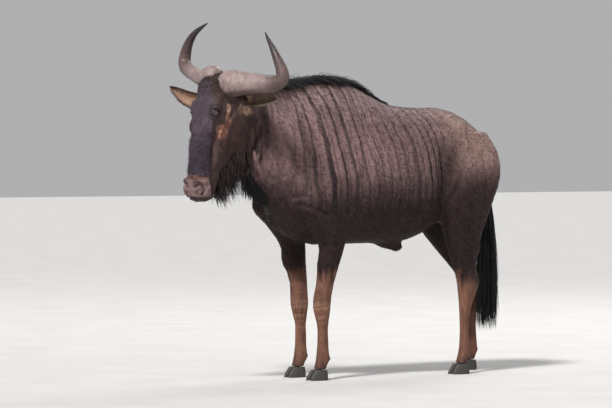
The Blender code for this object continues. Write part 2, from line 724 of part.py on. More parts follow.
def make_flesh():
    """Torso, neck, head and legs parted from one clay."""
    body_forms = [trunk_form()] + muscles()
    for side, word in ((-1, "left"), (1, "right")):
        body_forms.append(leg_form(word, FORELEG, side, fore_shift(side)))
        body_forms.append(leg_form(word, HINDLEG, side, hind_shift(side)))
    body = fused("body", body_forms, BODY_VOXEL, 14)
    sculpt_body(body)

    face = fused("face", [trunk_form(last_x=-0.20)] + head_forms(), HEAD_VOXEL, 7)
    sculpt_head(face)
    socket_sculpt(face)

    torso = decimated(duplicate(body, "torso"), 2900)
    lean = decimated(duplicate(body, "lean"), 4300)
    remove(body)
    decimated(face, 3400)

    pieces = {}
    spans = {"fore": (FORE_CUT, -0.17, 0.185), "hind": (HIND_CUT, 0.600, 1.150)}
    for side, word in ((-1, "left"), (1, "right")):
        for pair, (outline, low, high) in spans.items():
            name = f"{word}_{pair}leg" if pair == "fore" else f"{word}_hind_leg"
            leg = duplicate(lean, name)
            floor = prism("floor", [(-1, -1), (2, -1), (2, CORONET), (-1, CORONET)], 1, -1, 1)
            combined(leg, "INTERSECT", [leg_cutter("cut", side, outline, low, high)])
            combined(leg, "DIFFERENCE", [floor])
            pieces[name] = leg
    cutters = []
    for side in (-1, 1):
        for outline, low, high in spans.values():
            cutters.append(leg_cutter("cut", side, outline, low, high, GAP))
    combined(torso, "DIFFERENCE", cutters)
    neck = duplicate(torso, "neck")
    combined(neck, "INTERSECT", [prism("cut", NECK_CUT, 1, -1, 1)])
    pieces["neck"] = neck
    ahead = [(-1.5, 2.0), (HEAD_CUT_X, 2.0), (HEAD_CUT_X, 0.0), (-1.5, 0.0)]
    combined(torso, "DIFFERENCE", [prism("cut", grown(NECK_CUT, GAP), 1, -1, 1)])
    combined(torso, "DIFFERENCE", [prism("cut", ahead, 1, -1, 1)])
    pieces["torso"] = torso
    head_block = [(-1.5, 2.0), (HEAD_CUT_X - GAP, 2.0), (HEAD_CUT_X - GAP, 0.3), (-1.5, 0.3)]
    combined(face, "INTERSECT", [prism("cut", head_block, 1, -1, 1)])
    pieces["head"] = face
    remove(lean)
    for name, piece in pieces.items():
        finish(piece, name, "hide")
    return pieces


def make_claws():
    claws = []
    feet = [
        ("left_fore", -0.022, -FOOT_SPREAD_FORE, fore_shift(-1)(0.03)),
        ("right_fore", -0.022, FOOT_SPREAD_FORE, fore_shift(1)(0.03)),
        ("left_hind", 0.766, -FOOT_SPREAD_HIND, hind_shift(-1)(0.03)),
        ("right_hind", 0.766, FOOT_SPREAD_HIND, hind_shift(1)(0.03)),
    ]
    for foot, x, y, shift in feet:
        for word, hand in (("inner", -1), ("outer", 1)):
            outward = math.copysign(hand, hand * y)
            middle = y + outward * CLAW_OFFSET
            rings = []
            for height, toe, heel, wide in CLAW:
                top = min(height, CORONET - GAP)
                ring = []
                for angle in angles(10):
                    c, s = oval(angle, 2.5)
                    reach = toe if c < 0 else heel
                    pinch = 1 - 0.35 * max(0.0, -c)
                    ring.append((x + shift + reach * c, middle + wide * s * pinch, top))
                rings.append(ring)
            claws.append(finish(loft("claw", rings), f"{foot}_claw_{word}", "claw"))
    return claws


def tube_rings(rows, sides, squash=None):
    """Rings round a path of (x, y, z, radius), each square to the path."""
    points = np.array([row[:3] for row in rows], float)
    tangents = np.gradient(points, axis=0)
    tangents /= np.linalg.norm(tangents, axis=1)[:, None]
    side = np.cross(tangents[0], (0.3, 0.2, 0.9))
    rings = []
    for k, (point, tangent) in enumerate(zip(points, tangents)):
        side = side - tangent * (side @ tangent)
        side /= np.linalg.norm(side)
        other = np.cross(tangent, side)
        ring = []
        for i, angle in enumerate(angles(sides)):
            radius = rows[k][3] * (squash(k / (len(rows) - 1), angle) if squash else 1)
            ring.append(point + radius * (math.cos(angle) * side + math.sin(angle) * other))
        rings.append(ring)
    return rings


def smooth_path(rows, count):
    """A table's rows read at equal steps along a smooth curve through them."""
    table = np.array(rows, float)
    along = np.concatenate([[0], np.cumsum(np.linalg.norm(np.diff(table[:, :3], axis=0), axis=1))])
    keyed = np.column_stack([along, table])
    dense = dense_rows(keyed, along[-1] / (count - 1) + 1e-9)
    return dense[:, 1:]


def make_horns(head, neck):
    horns = []
    for side, word in ((1, "left"), (-1, "right")):
        path = smooth_path(HORNS[word], 19)
        rows = [(*on_head(side * a, b, c), r) for a, b, c, r in path]

        def growth(along, angle):
            ripple = 0.022 * math.sin(along * 95) * float(smooth((0.62 - along) / 0.3))
            return 1 + ripple

        horn = loft("horn", tube_rings(rows, 12, growth))
        combined(horn, "DIFFERENCE", [swollen(head, "clear", GAP), swollen(neck, "clear", GAP)])
        horns.append(finish(horn, f"{word}_horn", "horn"))
    middle = prism("middle", [(-1.0, 0.5), (1.0, 0.5), (1.0, 2.0), (-1.0, 2.0)], 1, -0.004, 0.004)
    middle.data.transform(HEAD_FRAME @ Matrix.Translation((0, 0, -1.354)))
    for horn in horns:
        combined(horn, "DIFFERENCE", [duplicate(middle, "middle_copy")])
    remove(middle)
    return horns


def make_ears(head, neck, horns):
    """Leaf-shaped cups that open forwards and a little down."""
    ears = []
    for side, word in ((1, "left"), (-1, "right")):
        root = np.array(EAR_ROOTS[word])
        tip = np.array(EAR_TIPS[word])
        steps = 9
        rings = []
        for k in range(steps):
            t = k / (steps - 1)
            middle = root + (tip - root) * t
            middle[2] += EAR_BENDS[word] * math.sin(math.pi * t)
            leaf = 0.52 + 0.48 * float(smooth(t / 0.42))
            leaf *= 1.02 - max(0.0, (t - 0.40) / 0.60) ** 3.0
            wide = EAR_HALF_WIDTH * leaf
            cup = EAR_CUP * (0.5 + 0.5 * math.sin(math.pi * t)) * (1 - 0.55 * t)
            wall = EAR_WALL * (1 - 0.6 * t)
            outline = []
            for i in range(7):
                a = -1 + 2 * i / 6
                outline.append((wide * a, cup * a * a - wall / 2))
            for i in range(7):
                a = 1 - 2 * i / 6
                outline.append((wide * a * 0.96, cup * a * a * 0.90 - cup * 0.2 - wall))
            ring = []
            for up, front in outline:
                ring.append(on_head(side * middle[0], middle[1] - front + 0.006, middle[2] + up))
            rings.append(ring)
        ear = loft("ear", rings)
        around = [head, neck, *horns]
        combined(ear, "DIFFERENCE", [swollen(piece, "clear", GAP) for piece in around])
        ears.append(finish(ear, f"{word}_ear", "ear"))
    return ears


def make_eyes(head):
    eyes = []
    for side, word in ((1, "left"), (-1, "right")):
        place = on_head(side * EYE_PLACE[0], -EYE_PLACE[1], EYE_PLACE[2])
        combined(head, "DIFFERENCE", [ball("socket", place, [EYE_RADIUS + GAP] * 3)])
        eyes.append(finish(ball("eye", place, [EYE_RADIUS] * 3), f"{word}_eye", "eye"))
    return eyes


def lock(root, direction, bend, length, width, thickness, spread, steps=4):
    """A flat, tapered, bending lock of hair with a pointed tip and a low ridge along it."""
    direction = np.array(direction, float) / np.linalg.norm(direction)
    bend, spread = np.array(bend, float), np.array(spread, float)
    point = np.array(root, float)
    rings = []
    for k in range(steps):
        t = k / steps
        heading = direction + bend * t
        heading /= np.linalg.norm(heading)
        flat = spread - heading * (spread @ heading)
        flat /= np.linalg.norm(flat)
        thick = np.cross(heading, flat)
        full = (0.75 + 0.5 * t) if t < 0.5 else (1.0 - (t - 0.5) * 1.5)
        w, h = width * full / 2, thickness * (1 - 0.6 * t)
        rings.append([point + flat * w - thick * h * 0.4, point + thick * h * 0.6,
                      point - flat * w - thick * h * 0.4])
        point = point + heading * length / steps
    points = [p for ring in rings for p in ring] + [point]
    faces = [(0, 1, 2)]
    for k in range(steps - 1):
        for i in range(3):
            j = (i + 1) % 3
            faces.append((k * 3 + i, k * 3 + j, k * 3 + 3 + j))
            faces.append((k * 3 + i, k * 3 + 3 + j, k * 3 + 3 + i))
    last = (steps - 1) * 3
    faces += [(last + i, last + (i + 1) % 3, len(points) - 1) for i in range(3)]
    return solid("lock", points, faces)


def hair_node(name, core, locks, clear_of):
    """A core with its locks fused on, cut clear of what it grows from."""
    combined(core, "UNION", locks)
    combined(core, "DIFFERENCE", [swollen(piece, "clear", GAP) for piece in clear_of])
    return finish(core, name, "hair")


def top_line(x):
    table = np.array(TRUNK)
    return float(np.interp(x, table[:, 0], table[:, 1]))


def make_mane(flesh, chance):
    """The upright mane from behind the horns over the withers to the back."""
    def tallness(x):
        front = 1 - 0.60 * math.exp(-(((x + 0.085) / 0.050) ** 2))
        return front * (1 - 0.78 * float(smooth((x - 0.03) / 0.34)))

    rings, locks = [], []
    for x in np.linspace(-0.395, 0.400, 10):
        tall = 0.006 + 0.034 * tallness(x)
        y, z = neck_sway(x), top_line(x) - 0.012
        rings.append([
            (x, y - 0.024, z - 0.030), (x, y - 0.015, z + tall * 0.6), (x, y, z + tall + 0.010),
            (x, y + 0.015, z + tall * 0.6), (x, y + 0.024, z - 0.030), (x, y, z - 0.040),
        ])
    core = loft("core", rings)
    for offset, lean, count in ((-0.008, -0.14, 13), (0.000, 0.12, 14), (0.009, 0.48, 13)):
        for x in np.linspace(-0.380, 0.380, count):
            x += chance.uniform(-0.012, 0.012)
            y = neck_sway(x) + offset
            length = 0.018 + (0.098 + chance.uniform(-0.020, 0.016)) * tallness(x)
            back = 0.85 + 0.9 * float(smooth((x + 0.05) / 0.30)) + chance.uniform(-0.2, 0.2)
            root = (x - 0.012, y, top_line(x) - 0.012)
            locks.append(lock(
                root, (back, lean + chance.uniform(-0.10, 0.10), 1.0),
                (0.9, 0.2 + lean * 0.8, -0.6), length, 0.044, 0.011, (1, 0.1, -0.3), 3,
            ))
    return hair_node("mane", core, locks, flesh)


def make_beard(head, neck, torso, chance):
    """Hair that hangs from the lower jaw, from behind the chin to the jaw's angle."""
    path = [(-0.018, -0.486), (0.022, -0.444), (0.060, -0.398), (0.098, -0.350), (0.130, -0.308)]
    rings = []
    for back, up in path:
        ring = []
        for angle in angles(6):
            ring.append(on_head(0.026 * math.cos(angle), back - 0.008 + 0.020 * math.sin(angle),
                                up + 0.002 + 0.016 * math.sin(angle)))
        rings.append(ring)
    core = loft("core", rings)
    table = np.array(path)
    locks = []
    for side in (-1, 0, 1):
        for k in range(6):
            t = (k + 0.5 * (side == 0)) / 6
            back = np.interp(t * 4, range(5), table[:, 0])
            up = np.interp(t * 4, range(5), table[:, 1])
            root = on_head(side * 0.016, back - 0.010, up + 0.012)
            length = 0.095 + 0.050 * math.sin(math.pi * t) + chance.uniform(-0.014, 0.018)
            locks.append(lock(
                root, (0.10 + chance.uniform(-0.08, 0.08), -side * 0.10, -1), (0.22, -side * 0.05, 0),
                length, 0.036, 0.012, (1, chance.uniform(-0.5, 0.5), 0), 3,
            ))
    return hair_node("beard", core, locks, [head, neck, torso])


def make_throat_fringe(head, neck, torso, beard, chance):
    """The fringe under the neck, from the throat to the breast."""
    path = [(-0.376, 0.938), (-0.338, 0.900), (-0.300, 0.854), (-0.262, 0.808)]
    rings = []
    for x, z in path:
        ring = []
        for angle in angles(6):
            ring.append((x + 0.006 + 0.018 * math.cos(angle), 0.030 * math.sin(angle), z + 0.010))
        rings.append(ring)
    core = loft("core", rings)
    table = np.array(path)
    locks = []
    for side in (-1, 0, 1):
        for k in range(5):
            t = (k + 0.5 * (side == 0)) / 5
            x = np.interp(t * 3, range(4), table[:, 0])
            z = np.interp(t * 3, range(4), table[:, 1])
            length = 0.165 - 0.085 * t + chance.uniform(-0.014, 0.016)
            locks.append(lock(
                (x + 0.012, side * 0.018, z + 0.012),
                (-0.22 + chance.uniform(-0.1, 0.1), side * 0.10, -1), (0.38, side * 0.05, 0),
                length, 0.036, 0.012, (0.7, 1 + chance.uniform(-0.4, 0.4), 0), 3,
            ))
    return hair_node("throat_fringe", core, locks, [head, neck, torso, beard])


def make_tail(torso, chance):
    """The dock, a tapered root, and the long black switch hung on its lower part."""
    dock_path = [
        (0.905, 0, 1.042, 0.028), (0.955, 0.004, 1.033, 0.028), (0.990, 0.008, 0.995, 0.025),
        (1.006, 0.012, 0.945, 0.022), (1.013, 0.014, 0.885, 0.020),
    ]
    dock = loft("dock", tube_rings(smooth_path(dock_path, 9), 10))
    combined(dock, "DIFFERENCE", [swollen(torso, "clear", GAP)])
    finish(dock, "tail_dock", "hide")
    bone_path = [
        (1.013, 0.014, 0.900, 0.020), (1.018, 0.016, 0.800, 0.021),
        (1.018, 0.018, 0.680, 0.020), (1.016, 0.020, 0.560, 0.016), (1.012, 0.020, 0.460, 0.009),
    ]
    switch = loft("switch", tube_rings(smooth_path(bone_path, 8), 6))
    top = prism("top", [(0.5, 0.8897), (1.5, 0.8897), (1.5, 1.5), (0.5, 1.5)], 1, -1, 1)
    bottom = prism("bottom", [(0.5, 0.0), (1.5, 0.0), (1.5, 0.890), (0.5, 0.890)], 1, -1, 1)
    combined(dock, "DIFFERENCE", [bottom])
    locks = []
    centre = np.array([(p[2], p[0], p[1]) for p in bone_path])[::-1]
    for tier, (height, length) in enumerate(((0.84, 0.40), (0.71, 0.40), (0.59, 0.36), (0.49, 0.30))):
        for k in range(5):
            angle = 2 * math.pi * (k + 0.5 * (tier % 2)) / 5
            z = height + chance.uniform(-0.03, 0.03)
            x = np.interp(z, centre[:, 0], centre[:, 1])
            y = np.interp(z, centre[:, 0], centre[:, 2])
            out = np.array((math.cos(angle), math.sin(angle), 0))
            root = np.array((x, y, z)) + out * 0.006
            around = np.cross(out, (0, 0, 1))
            locks.append(lock(
                root, out * 0.20 + (0, 0, -1), -out * 0.30, length + chance.uniform(-0.05, 0.03),
                0.046, 0.015, around, 3 + (tier < 2),
            ))
    combined(switch, "UNION", locks)
    combined(switch, "DIFFERENCE", [top])
    finish(switch, "tail_switch", "hair")
    return [dock, switch]


def centre_on_floor(objects):
    """Moves everything so that the origin lies on the floor at the middle of the model's box."""
    points = np.concatenate([coordinates(obj) for obj in objects])
    low, high = points.min(axis=0), points.max(axis=0)
    shift = Matrix.Translation((-(low[0] + high[0]) / 2, -(low[1] + high[1]) / 2, -low[2]))
    for obj in objects:
        obj.data.transform(shift)


def main():
    for obj in list(bpy.data.objects):
        bpy.data.objects.remove(obj)
    chance = random.Random(RANDOM_SEED)
    flesh = make_flesh()
    head, neck, torso = flesh["head"], flesh["neck"], flesh["torso"]
    make_eyes(head)
    horns = make_horns(head, neck)
    ears = make_ears(head, neck, horns)
    make_claws()
    make_mane([head, neck, torso, *horns, *ears], chance)
    beard = make_beard(head, neck, torso, chance)
    make_throat_fringe(head, neck, torso, beard, chance)
    make_tail(torso, chance)
    centre_on_floor([obj for obj in bpy.data.objects if obj.type == "MESH"])


main()
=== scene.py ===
import math

import bmesh
import bpy
import numpy as np
from mathutils import Matrix, Vector
from mathutils.bvhtree import BVHTree


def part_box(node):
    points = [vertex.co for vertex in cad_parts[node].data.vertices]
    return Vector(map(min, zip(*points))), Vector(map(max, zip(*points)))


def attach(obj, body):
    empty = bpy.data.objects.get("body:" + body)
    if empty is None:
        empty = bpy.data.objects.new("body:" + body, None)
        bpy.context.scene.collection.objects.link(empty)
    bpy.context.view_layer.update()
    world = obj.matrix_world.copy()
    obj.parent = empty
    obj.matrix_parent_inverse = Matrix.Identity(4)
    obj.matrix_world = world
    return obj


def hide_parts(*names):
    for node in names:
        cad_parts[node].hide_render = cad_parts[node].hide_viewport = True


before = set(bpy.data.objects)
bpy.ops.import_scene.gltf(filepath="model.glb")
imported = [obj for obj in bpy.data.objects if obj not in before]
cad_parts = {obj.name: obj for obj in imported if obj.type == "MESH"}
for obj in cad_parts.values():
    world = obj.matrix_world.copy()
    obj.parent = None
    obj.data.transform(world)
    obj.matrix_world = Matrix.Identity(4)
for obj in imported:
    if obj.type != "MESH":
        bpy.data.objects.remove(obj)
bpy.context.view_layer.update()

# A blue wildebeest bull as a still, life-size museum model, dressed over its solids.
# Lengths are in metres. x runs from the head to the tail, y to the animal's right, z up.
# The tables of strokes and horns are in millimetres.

MM = 0.001
chance = np.random.default_rng(7)

# The view of the photograph: a point under the animal, and the camera far in front of it.
VIEW_POINT = Vector((-0.053, 0.044, 0.0))
VIEW_AHEAD = Vector((0.559, 0.829, 0.0))
VIEW_RIGHT = Vector((0.829, -0.559, 0.0))
CAMERA_DISTANCE = 16.0
CAMERA_HEIGHT = 1.08
PHOTO_WIDTH = 612
FOCAL_PIXELS = 3520
POINT_RIGHT_OF_CENTRE = 29  # pixels
HORIZON_ABOVE_CENTRE = 64  # pixels

# The skin over the flesh.
FLESH = ("head", "neck", "torso", "left_foreleg", "right_foreleg",
         "left_hind_leg", "right_hind_leg", "tail_dock")
SKIN_VOXEL = 0.0056
SEAM_OVERLAP = 0.0006
COAT_DEPTH_BODY = 0.004
COAT_DEPTH_LEGS = 0.0022
COAT_DEPTH_HEAD = 0.0014
HEAD_END_X = -0.505
TAIL_ROOT = (0.765, 0.055, 1.105)

# The head's own axes: turned to its left and rolled a little. Places on it are (side, back, up).
HEAD_TURN = math.radians(12)
HEAD_ROLL = math.radians(3)
EYE_SIDE, EYE_BACK, EYE_UP = 0.058, -0.093, -0.15
EYE_RADIUS = 0.0215
FINE_PLACES = ((EYE_SIDE, EYE_BACK, EYE_UP), (0.052, -0.14, -0.48), (0.045, -0.11, -0.53))
PLATE_RISE = 0.0018

# Base colours.
GREY_BROWN = (0.185, 0.114, 0.112)
RUMP_BROWN = (0.23, 0.148, 0.128)
BACK_GREY = (0.205, 0.142, 0.134)
# the dark brown of the belly, legs and tail, also used as painted shade in folds, hollows and under the
# body
DARK_BROWN_AND_SHADE = (0.02, 0.0112, 0.0104)
STRIPE_BLACK = (0.011, 0.008, 0.009)
RUSTY = (0.19, 0.09, 0.06)
SLATE = (0.06, 0.044, 0.057)
FACE_BROWN = (0.06, 0.038, 0.036)
CHEEK_BROWN = (0.046, 0.025, 0.023)
TAN = (0.5, 0.32, 0.22)
ORANGE = (0.23, 0.105, 0.072)
MUZZLE = (0.19, 0.122, 0.117)
LIP = (0.036, 0.027, 0.028)
# painted shade inside the nostrils' slits
NOSTRIL_SLIT_SHADE = (0.005, 0.0035, 0.004)
LID_DARK = (0.022, 0.016, 0.017)
BLACK_HAIR = (0.01, 0.0085, 0.01)
HORN_BOSS = (0.245, 0.178, 0.168)
HORN_ARC = (0.096, 0.062, 0.056)
HORN_TIP = (0.028, 0.02, 0.021)
HORN_WORN = (0.12, 0.08, 0.072)
# painted shade for the underside of the horns' bases
HORN_UNDERSIDE_SHADE = (0.055, 0.034, 0.031)
EYE_WHITE = (0.06, 0.04, 0.034)
IRIS = (0.05, 0.024, 0.013)
IRIS_RIM = (0.012, 0.007, 0.005)
PUPIL = (0.002, 0.002, 0.004)
CLAW = (0.045, 0.036, 0.033)
CLAW_WORN = (0.105, 0.078, 0.062)
BROWN_HAIR = (0.048, 0.029, 0.024)


def smooth(t):
    """0 below 0, 1 above 1, and an even slope between."""
    t = np.clip(t, 0.0, 1.0)
    return t * t * (3 - 2 * t)


def unit(vectors):
    return vectors / np.maximum(np.linalg.norm(vectors, axis=-1, keepdims=True), 1e-12)


def plain(colour, count):
    """That many rows of one colour."""
    return np.tile(np.array(colour), (count, 1))


def nearest(points, centres):
    """The distance of each point from the nearest of a few centres."""
    return np.min([np.linalg.norm(points - c, axis=1) for c in centres], axis=0)


def noise(points, size, seed=0):
    """Smooth random values from -1 to 1 through space, in blobs of that size."""
    place = points / size + 31.7 * (seed + 1)
    cell = np.floor(place).astype(np.int64)
    part = place - cell
    part = part * part * (3 - 2 * part)
    total = np.zeros(len(points))
    for corner in np.ndindex(2, 2, 2):
        at = cell + corner
        mixed = (at[:, 0] * 73856093) ^ (at[:, 1] * 19349663) ^ (at[:, 2] * 83492791)
        mixed = (mixed * 1103515245 + 12345) & 0x7FFFFFFF
        mixed = (mixed ^ (mixed >> 13)) * 48271 & 0x7FFFFFFF
        weight = np.prod(np.where(corner, part, 1 - part), axis=1)
        total += weight * (mixed / 0x7FFFFFFF)
    return 2 * total - 1


def head_frame():
    """The head's axes, set out from the two eyes."""
    axes = Matrix.Rotation(HEAD_TURN, 4, "Z") @ Matrix.Rotation(HEAD_ROLL, 4, "X")
    corners = [Vector(c) for name in ("left_eye", "right_eye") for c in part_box(name)]
    middle = sum(corners, Vector()) / 4
    origin = middle - axes.to_3x3() @ Vector((EYE_BACK, 0, EYE_UP))
    return Matrix.Translation(origin) @ axes


HEAD = head_frame()
HEAD_ORIGIN = np.array(HEAD.translation)
HEAD_AXES = np.array(HEAD.to_3x3())


def on_head(side, back, up):
    """A point of the head: side is to the animal's left, back is away from the face."""
    return HEAD_ORIGIN + HEAD_AXES @ np.array((back, -side, up))


def head_places(points):
    local = (points - HEAD_ORIGIN) @ HEAD_AXES
    return -local[:, 1], local[:, 0], local[:, 2]


def head_direction(side, back, up):
    return HEAD_AXES @ np.array((back, -side, up))


def eye_centre(side):
    return on_head(side * EYE_SIDE, EYE_BACK, EYE_UP)


def eye_distance(points):
    return nearest(points, (eye_centre(1), eye_centre(-1)))


def neck_sway(x):
    """How far the neck's middle bends to the left towards the head."""
    return 0.0438 - 0.052 * smooth((-x - 0.3) / 0.38)


# Meshes


def new_object(name, mesh):
    obj = bpy.data.objects.new(name, mesh)
    bpy.context.scene.collection.objects.link(obj)
    return obj


def rows_of(items, field, size, kind=float):
    """One field of all of a mesh's items, a row for each."""
    flat = np.empty(len(items) * size, kind)
    items.foreach_get(field, flat)
    return flat.reshape(-1, size)


def get_points(mesh):
    return rows_of(mesh.vertices, "co", 3)


def set_points(mesh, points):
    mesh.vertices.foreach_set("co", points.ravel())
    mesh.update()


def get_normals(mesh):
    return rows_of(mesh.vertices, "normal", 3)


def relaxed(mesh, rounds, push=0.5, give_back=0.0, share=None):
    """Evens the surface out. give_back swells it again, so that thin forms keep their size."""
    points, edges = get_points(mesh), rows_of(mesh.edges, "vertices", 2, np.int64)
    count = len(points)
    a, b = edges.T
    degree = np.maximum(np.bincount(edges.ravel(), minlength=count), 1)[:, None]
    share = 1.0 if share is None else share[:, None]
    for _ in range(rounds):
        for amount in (push, -give_back):
            if amount == 0:
                continue
            mean = np.column_stack([
                np.bincount(a, points[b, k], count) + np.bincount(b, points[a, k], count)
                for k in range(3)
            ]) / degree
            points += (mean - points) * amount * share
    set_points(mesh, points)


def voxels(obj, size, name):
    """The object's shape as one even closed surface."""
    remesh = obj.modifiers.new("remesh", "REMESH")
    remesh.mode = "VOXEL"
    remesh.voxel_size = size
    bpy.context.view_layer.update()
    mesh = bpy.data.meshes.new_from_object(obj.evaluated_get(bpy.context.evaluated_depsgraph_get()))
    mesh.name = name
    obj.modifiers.clear()
    return mesh


def split_faces(mesh, chosen):
    """Cuts every edge between two chosen points in half, and fills in the faces."""
    shell = bmesh.new()
    shell.from_mesh(mesh)
    edges = [e for e in shell.edges if chosen[e.verts[0].index] and chosen[e.verts[1].index]]
    bmesh.ops.subdivide_edges(shell, edges=edges, cuts=1, use_grid_fill=True)
    shell.to_mesh(mesh)
    shell.free()


def path_distance(points, path):
    """The distance of each point from a line of a few straight stretches."""
    best = np.full(len(points), np.inf)
    for start, end in zip(path[:-1], path[1:]):
        along = end - start
        t = np.clip((points - start) @ along / (along @ along), 0, 1)
        best = np.minimum(best, np.linalg.norm(points - start - t[:, None] * along, axis=1))
    return best


def curve_through(path, count):
    """Points along a smooth curve through a few given ones."""
    path = np.array(path, float)
    steps = np.linspace(0, len(path) - 1, count)
    ahead = np.vstack([2 * path[0] - path[1], path, 2 * path[-1] - path[-2]])
    found = []
    for s in steps:
        k = min(int(s), len(path) - 2)
        t = s - k
        p0, p1, p2, p3 = ahead[k:k + 4]
        found.append(0.5 * (2 * p1 + (p2 - p0) * t + (2 * p0 - 5 * p1 + 4 * p2 - p3) * t**2
                            + (3 * p1 - p0 - 3 * p2 + p3) * t**3))
    return np.array(found)


def sculpted(mesh, strokes, near=None):
    """Raises or sinks the surface along lines: (path, width, height) each."""
    points, normals = get_points(mesh), get_normals(mesh)
    reach = slice(None) if near is None else np.flatnonzero(near)
    kept, facing = points[reach], normals[reach]
    height = np.zeros(len(kept))
    for path, width, rise in strokes:
        path = np.array(path, float)
        low, high = path.min(0) - 3 * width, path.max(0) + 3 * width
        close = np.flatnonzero(np.all((kept > low) & (kept < high), axis=1))
        if len(close) == 0:
            continue
        far = path_distance(kept[close], path)
        height[close] += rise * np.exp(-((far / width) ** 2))
    points[reach] = kept + facing * height[:, None]
    set_points(mesh, points)


# The skin


def joined_flesh():
    """All flesh solids, swollen a hair's breadth so that they overlap, in one object."""
    shell = bmesh.new()
    for name in (*FLESH, "left_eye", "right_eye"):
        part = bmesh.new()
        part.from_mesh(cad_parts[name].data)
        bmesh.ops.remove_doubles(part, verts=part.verts, dist=1e-6)
        part.normal_update()
        grown = [v.co + v.normal * SEAM_OVERLAP for v in part.verts]
        for vert, place in zip(part.verts, grown):
            vert.co = place
        piece = bpy.data.meshes.new("piece")
        part.to_mesh(piece)
        part.free()
        shell.from_mesh(piece)
        bpy.data.meshes.remove(piece)
    mesh = bpy.data.meshes.new("flesh")
    shell.to_mesh(mesh)
    shell.free()
    return new_object("flesh", mesh)


def leg_share(points):
    """1 on the legs below the body, 0 on the body."""
    return smooth((0.7 - points[:, 2]) / 0.1)


def head_share(points):
    """1 on the head, 0 behind it."""
    return smooth((HEAD_END_X + 0.02 - points[:, 0]) / 0.05) * smooth((points[:, 2] - 0.74) / 0.03)


BROAD_HEAD_FORMS = [
    # the crease between the flat of the nose and the cheek, and the cheek's front edge behind it
    ([(60, -84, -258), (58, -92, -330), (58, -94, -400), (60, -88, -450)], 8.5, -10),
    ([(68, -56, -250), (67, -66, -340), (64, -62, -430)], 16, 6.5),
    # the scent gland's bulge under the eye, and the groove round it
    ([(62, -110, -208), (60, -112, -232)], 13, 7),
    ([(68, -90, -194), (70, -84, -224), (62, -98, -262)], 6, -6),
    # the brow over the eye and the hollow behind it
    ([(54, -115, -118), (68, -91, -108), (76, -64, -118)], 11, 5),
    ([(83, -40, -90), (86, -10, -100)], 14, -7),
    # the cheekbone
    ([(78, -58, -182), (86, -20, -186), (88, 20, -164)], 12, 6),
    # the round chewing muscle, its front rim, and the groove behind the jaw
    ([(92, 56, -200), (92, 88, -250), (84, 70, -310)], 38, 9),
    ([(86, 0, -220), (84, 4, -290), (78, 20, -350)], 12, -4.5),
    ([(92, 128, -110), (92, 152, -190), (84, 146, -270), (68, 120, -350), (50, 84, -430),
      (36, 56, -480)], 13, -15),
    ([(100, 176, -170), (94, 172, -270), (80, 146, -360), (60, 112, -440)], 12, 7),
    # long ridges down the forehead
    ([(0, -120, -50), (0, -146, -150), (0, -160, -240)], 12, 4),
    ([(30, -112, -60), (32, -134, -150), (34, -150, -240)], 10, 4),
    ([(16, -118, -60), (17, -142, -150), (18, -158, -240)], 6, -3),
    # the crease over the rough plate of the nose
    ([(0, -168, -252), (30, -160, -256), (50, -134, -262)], 7, -1.5),
    # the pad over each nostril
    ([(18, -178, -450), (42, -172, -446), (60, -150, -446)], 11, 6),
    # the lower lip and chin
    ([(0, -128, -552), (30, -118, -548), (48, -92, -530)], 12, 3),
]

# The nostril's slit: over the top and down the outer side of its flap.
NOSTRIL = [(24, -180, -482), (36, -176, -467), (50, -165, -464), (61, -150, -476), (64, -144, -496),
           (58, -150, -516)]

FINE_HEAD_FORMS = [
    # nostril: a deep slit round a soft flap, with a raised rim
    (NOSTRIL, 7.2, -19),
    ([(38, -174, -500), (46, -168, -490), (48, -166, -504)], 11, 11),
    ([(14, -182, -474), (32, -178, -454), (54, -162, -450), (70, -138, -468), (73, -130, -498),
      (66, -138, -522)], 4.5, 5),
    # mouth line with its corner
    ([(4, -152, -536), (30, -140, -534), (48, -118, -526), (56, -90, -510), (56, -64, -492),
      (53, -46, -478)], 3, -7.5),
    ([(4, -156, -528), (32, -143, -526), (50, -120, -518), (59, -90, -502)], 4.2, 2.4),
    ([(4, -148, -544), (30, -134, -542), (48, -110, -534), (56, -84, -518)], 4.5, 2.6),
    # folds of the skin above the nostrils
    ([(0, -176, -440), (30, -170, -436), (56, -150, -432), (68, -120, -434)], 3.8, -4.5),
    ([(0, -176, -426), (32, -168, -421), (58, -146, -418)], 3.2, -2.8),
    # folds under the eye and in front of it
    ([(70, -111, -182), (76, -85, -188), (78, -60, -180)], 3.2, -3.4),
    ([(68, -113, -194), (75, -85, -201), (78, -58, -192)], 3, -2.6),
    ([(58, -123, -128), (68, -105, -118), (76, -77, -118), (80, -57, -130)], 3.4, -4),
    ([(58, -115, -170), (59, -119, -190), (56, -117, -210)], 3.5, -3.4),
    # folds behind the gland that run down to the cheek
    ([(84, -24, -130), (80, -40, -180), (74, -62, -230), (70, -70, -280)], 4.2, -4.2),
    ([(86, 0, -140), (84, -18, -190), (80, -40, -240), (76, -48, -300)], 4.5, -3.6),
    ([(85, -10, -135), (81, -30, -185), (77, -52, -235)], 5, 3.4),
    # veins on the cheek
    ([(76, -60, -260), (78, -40, -320), (70, -30, -380), (62, -40, -440)], 3.6, 3),
    ([(78, -40, -320), (80, -4, -350), (74, 30, -380)], 3.4, 2.4),
    # dimples of the chin
    ([(14, -130, -560), (30, -118, -556)], 4, -1.8),
]

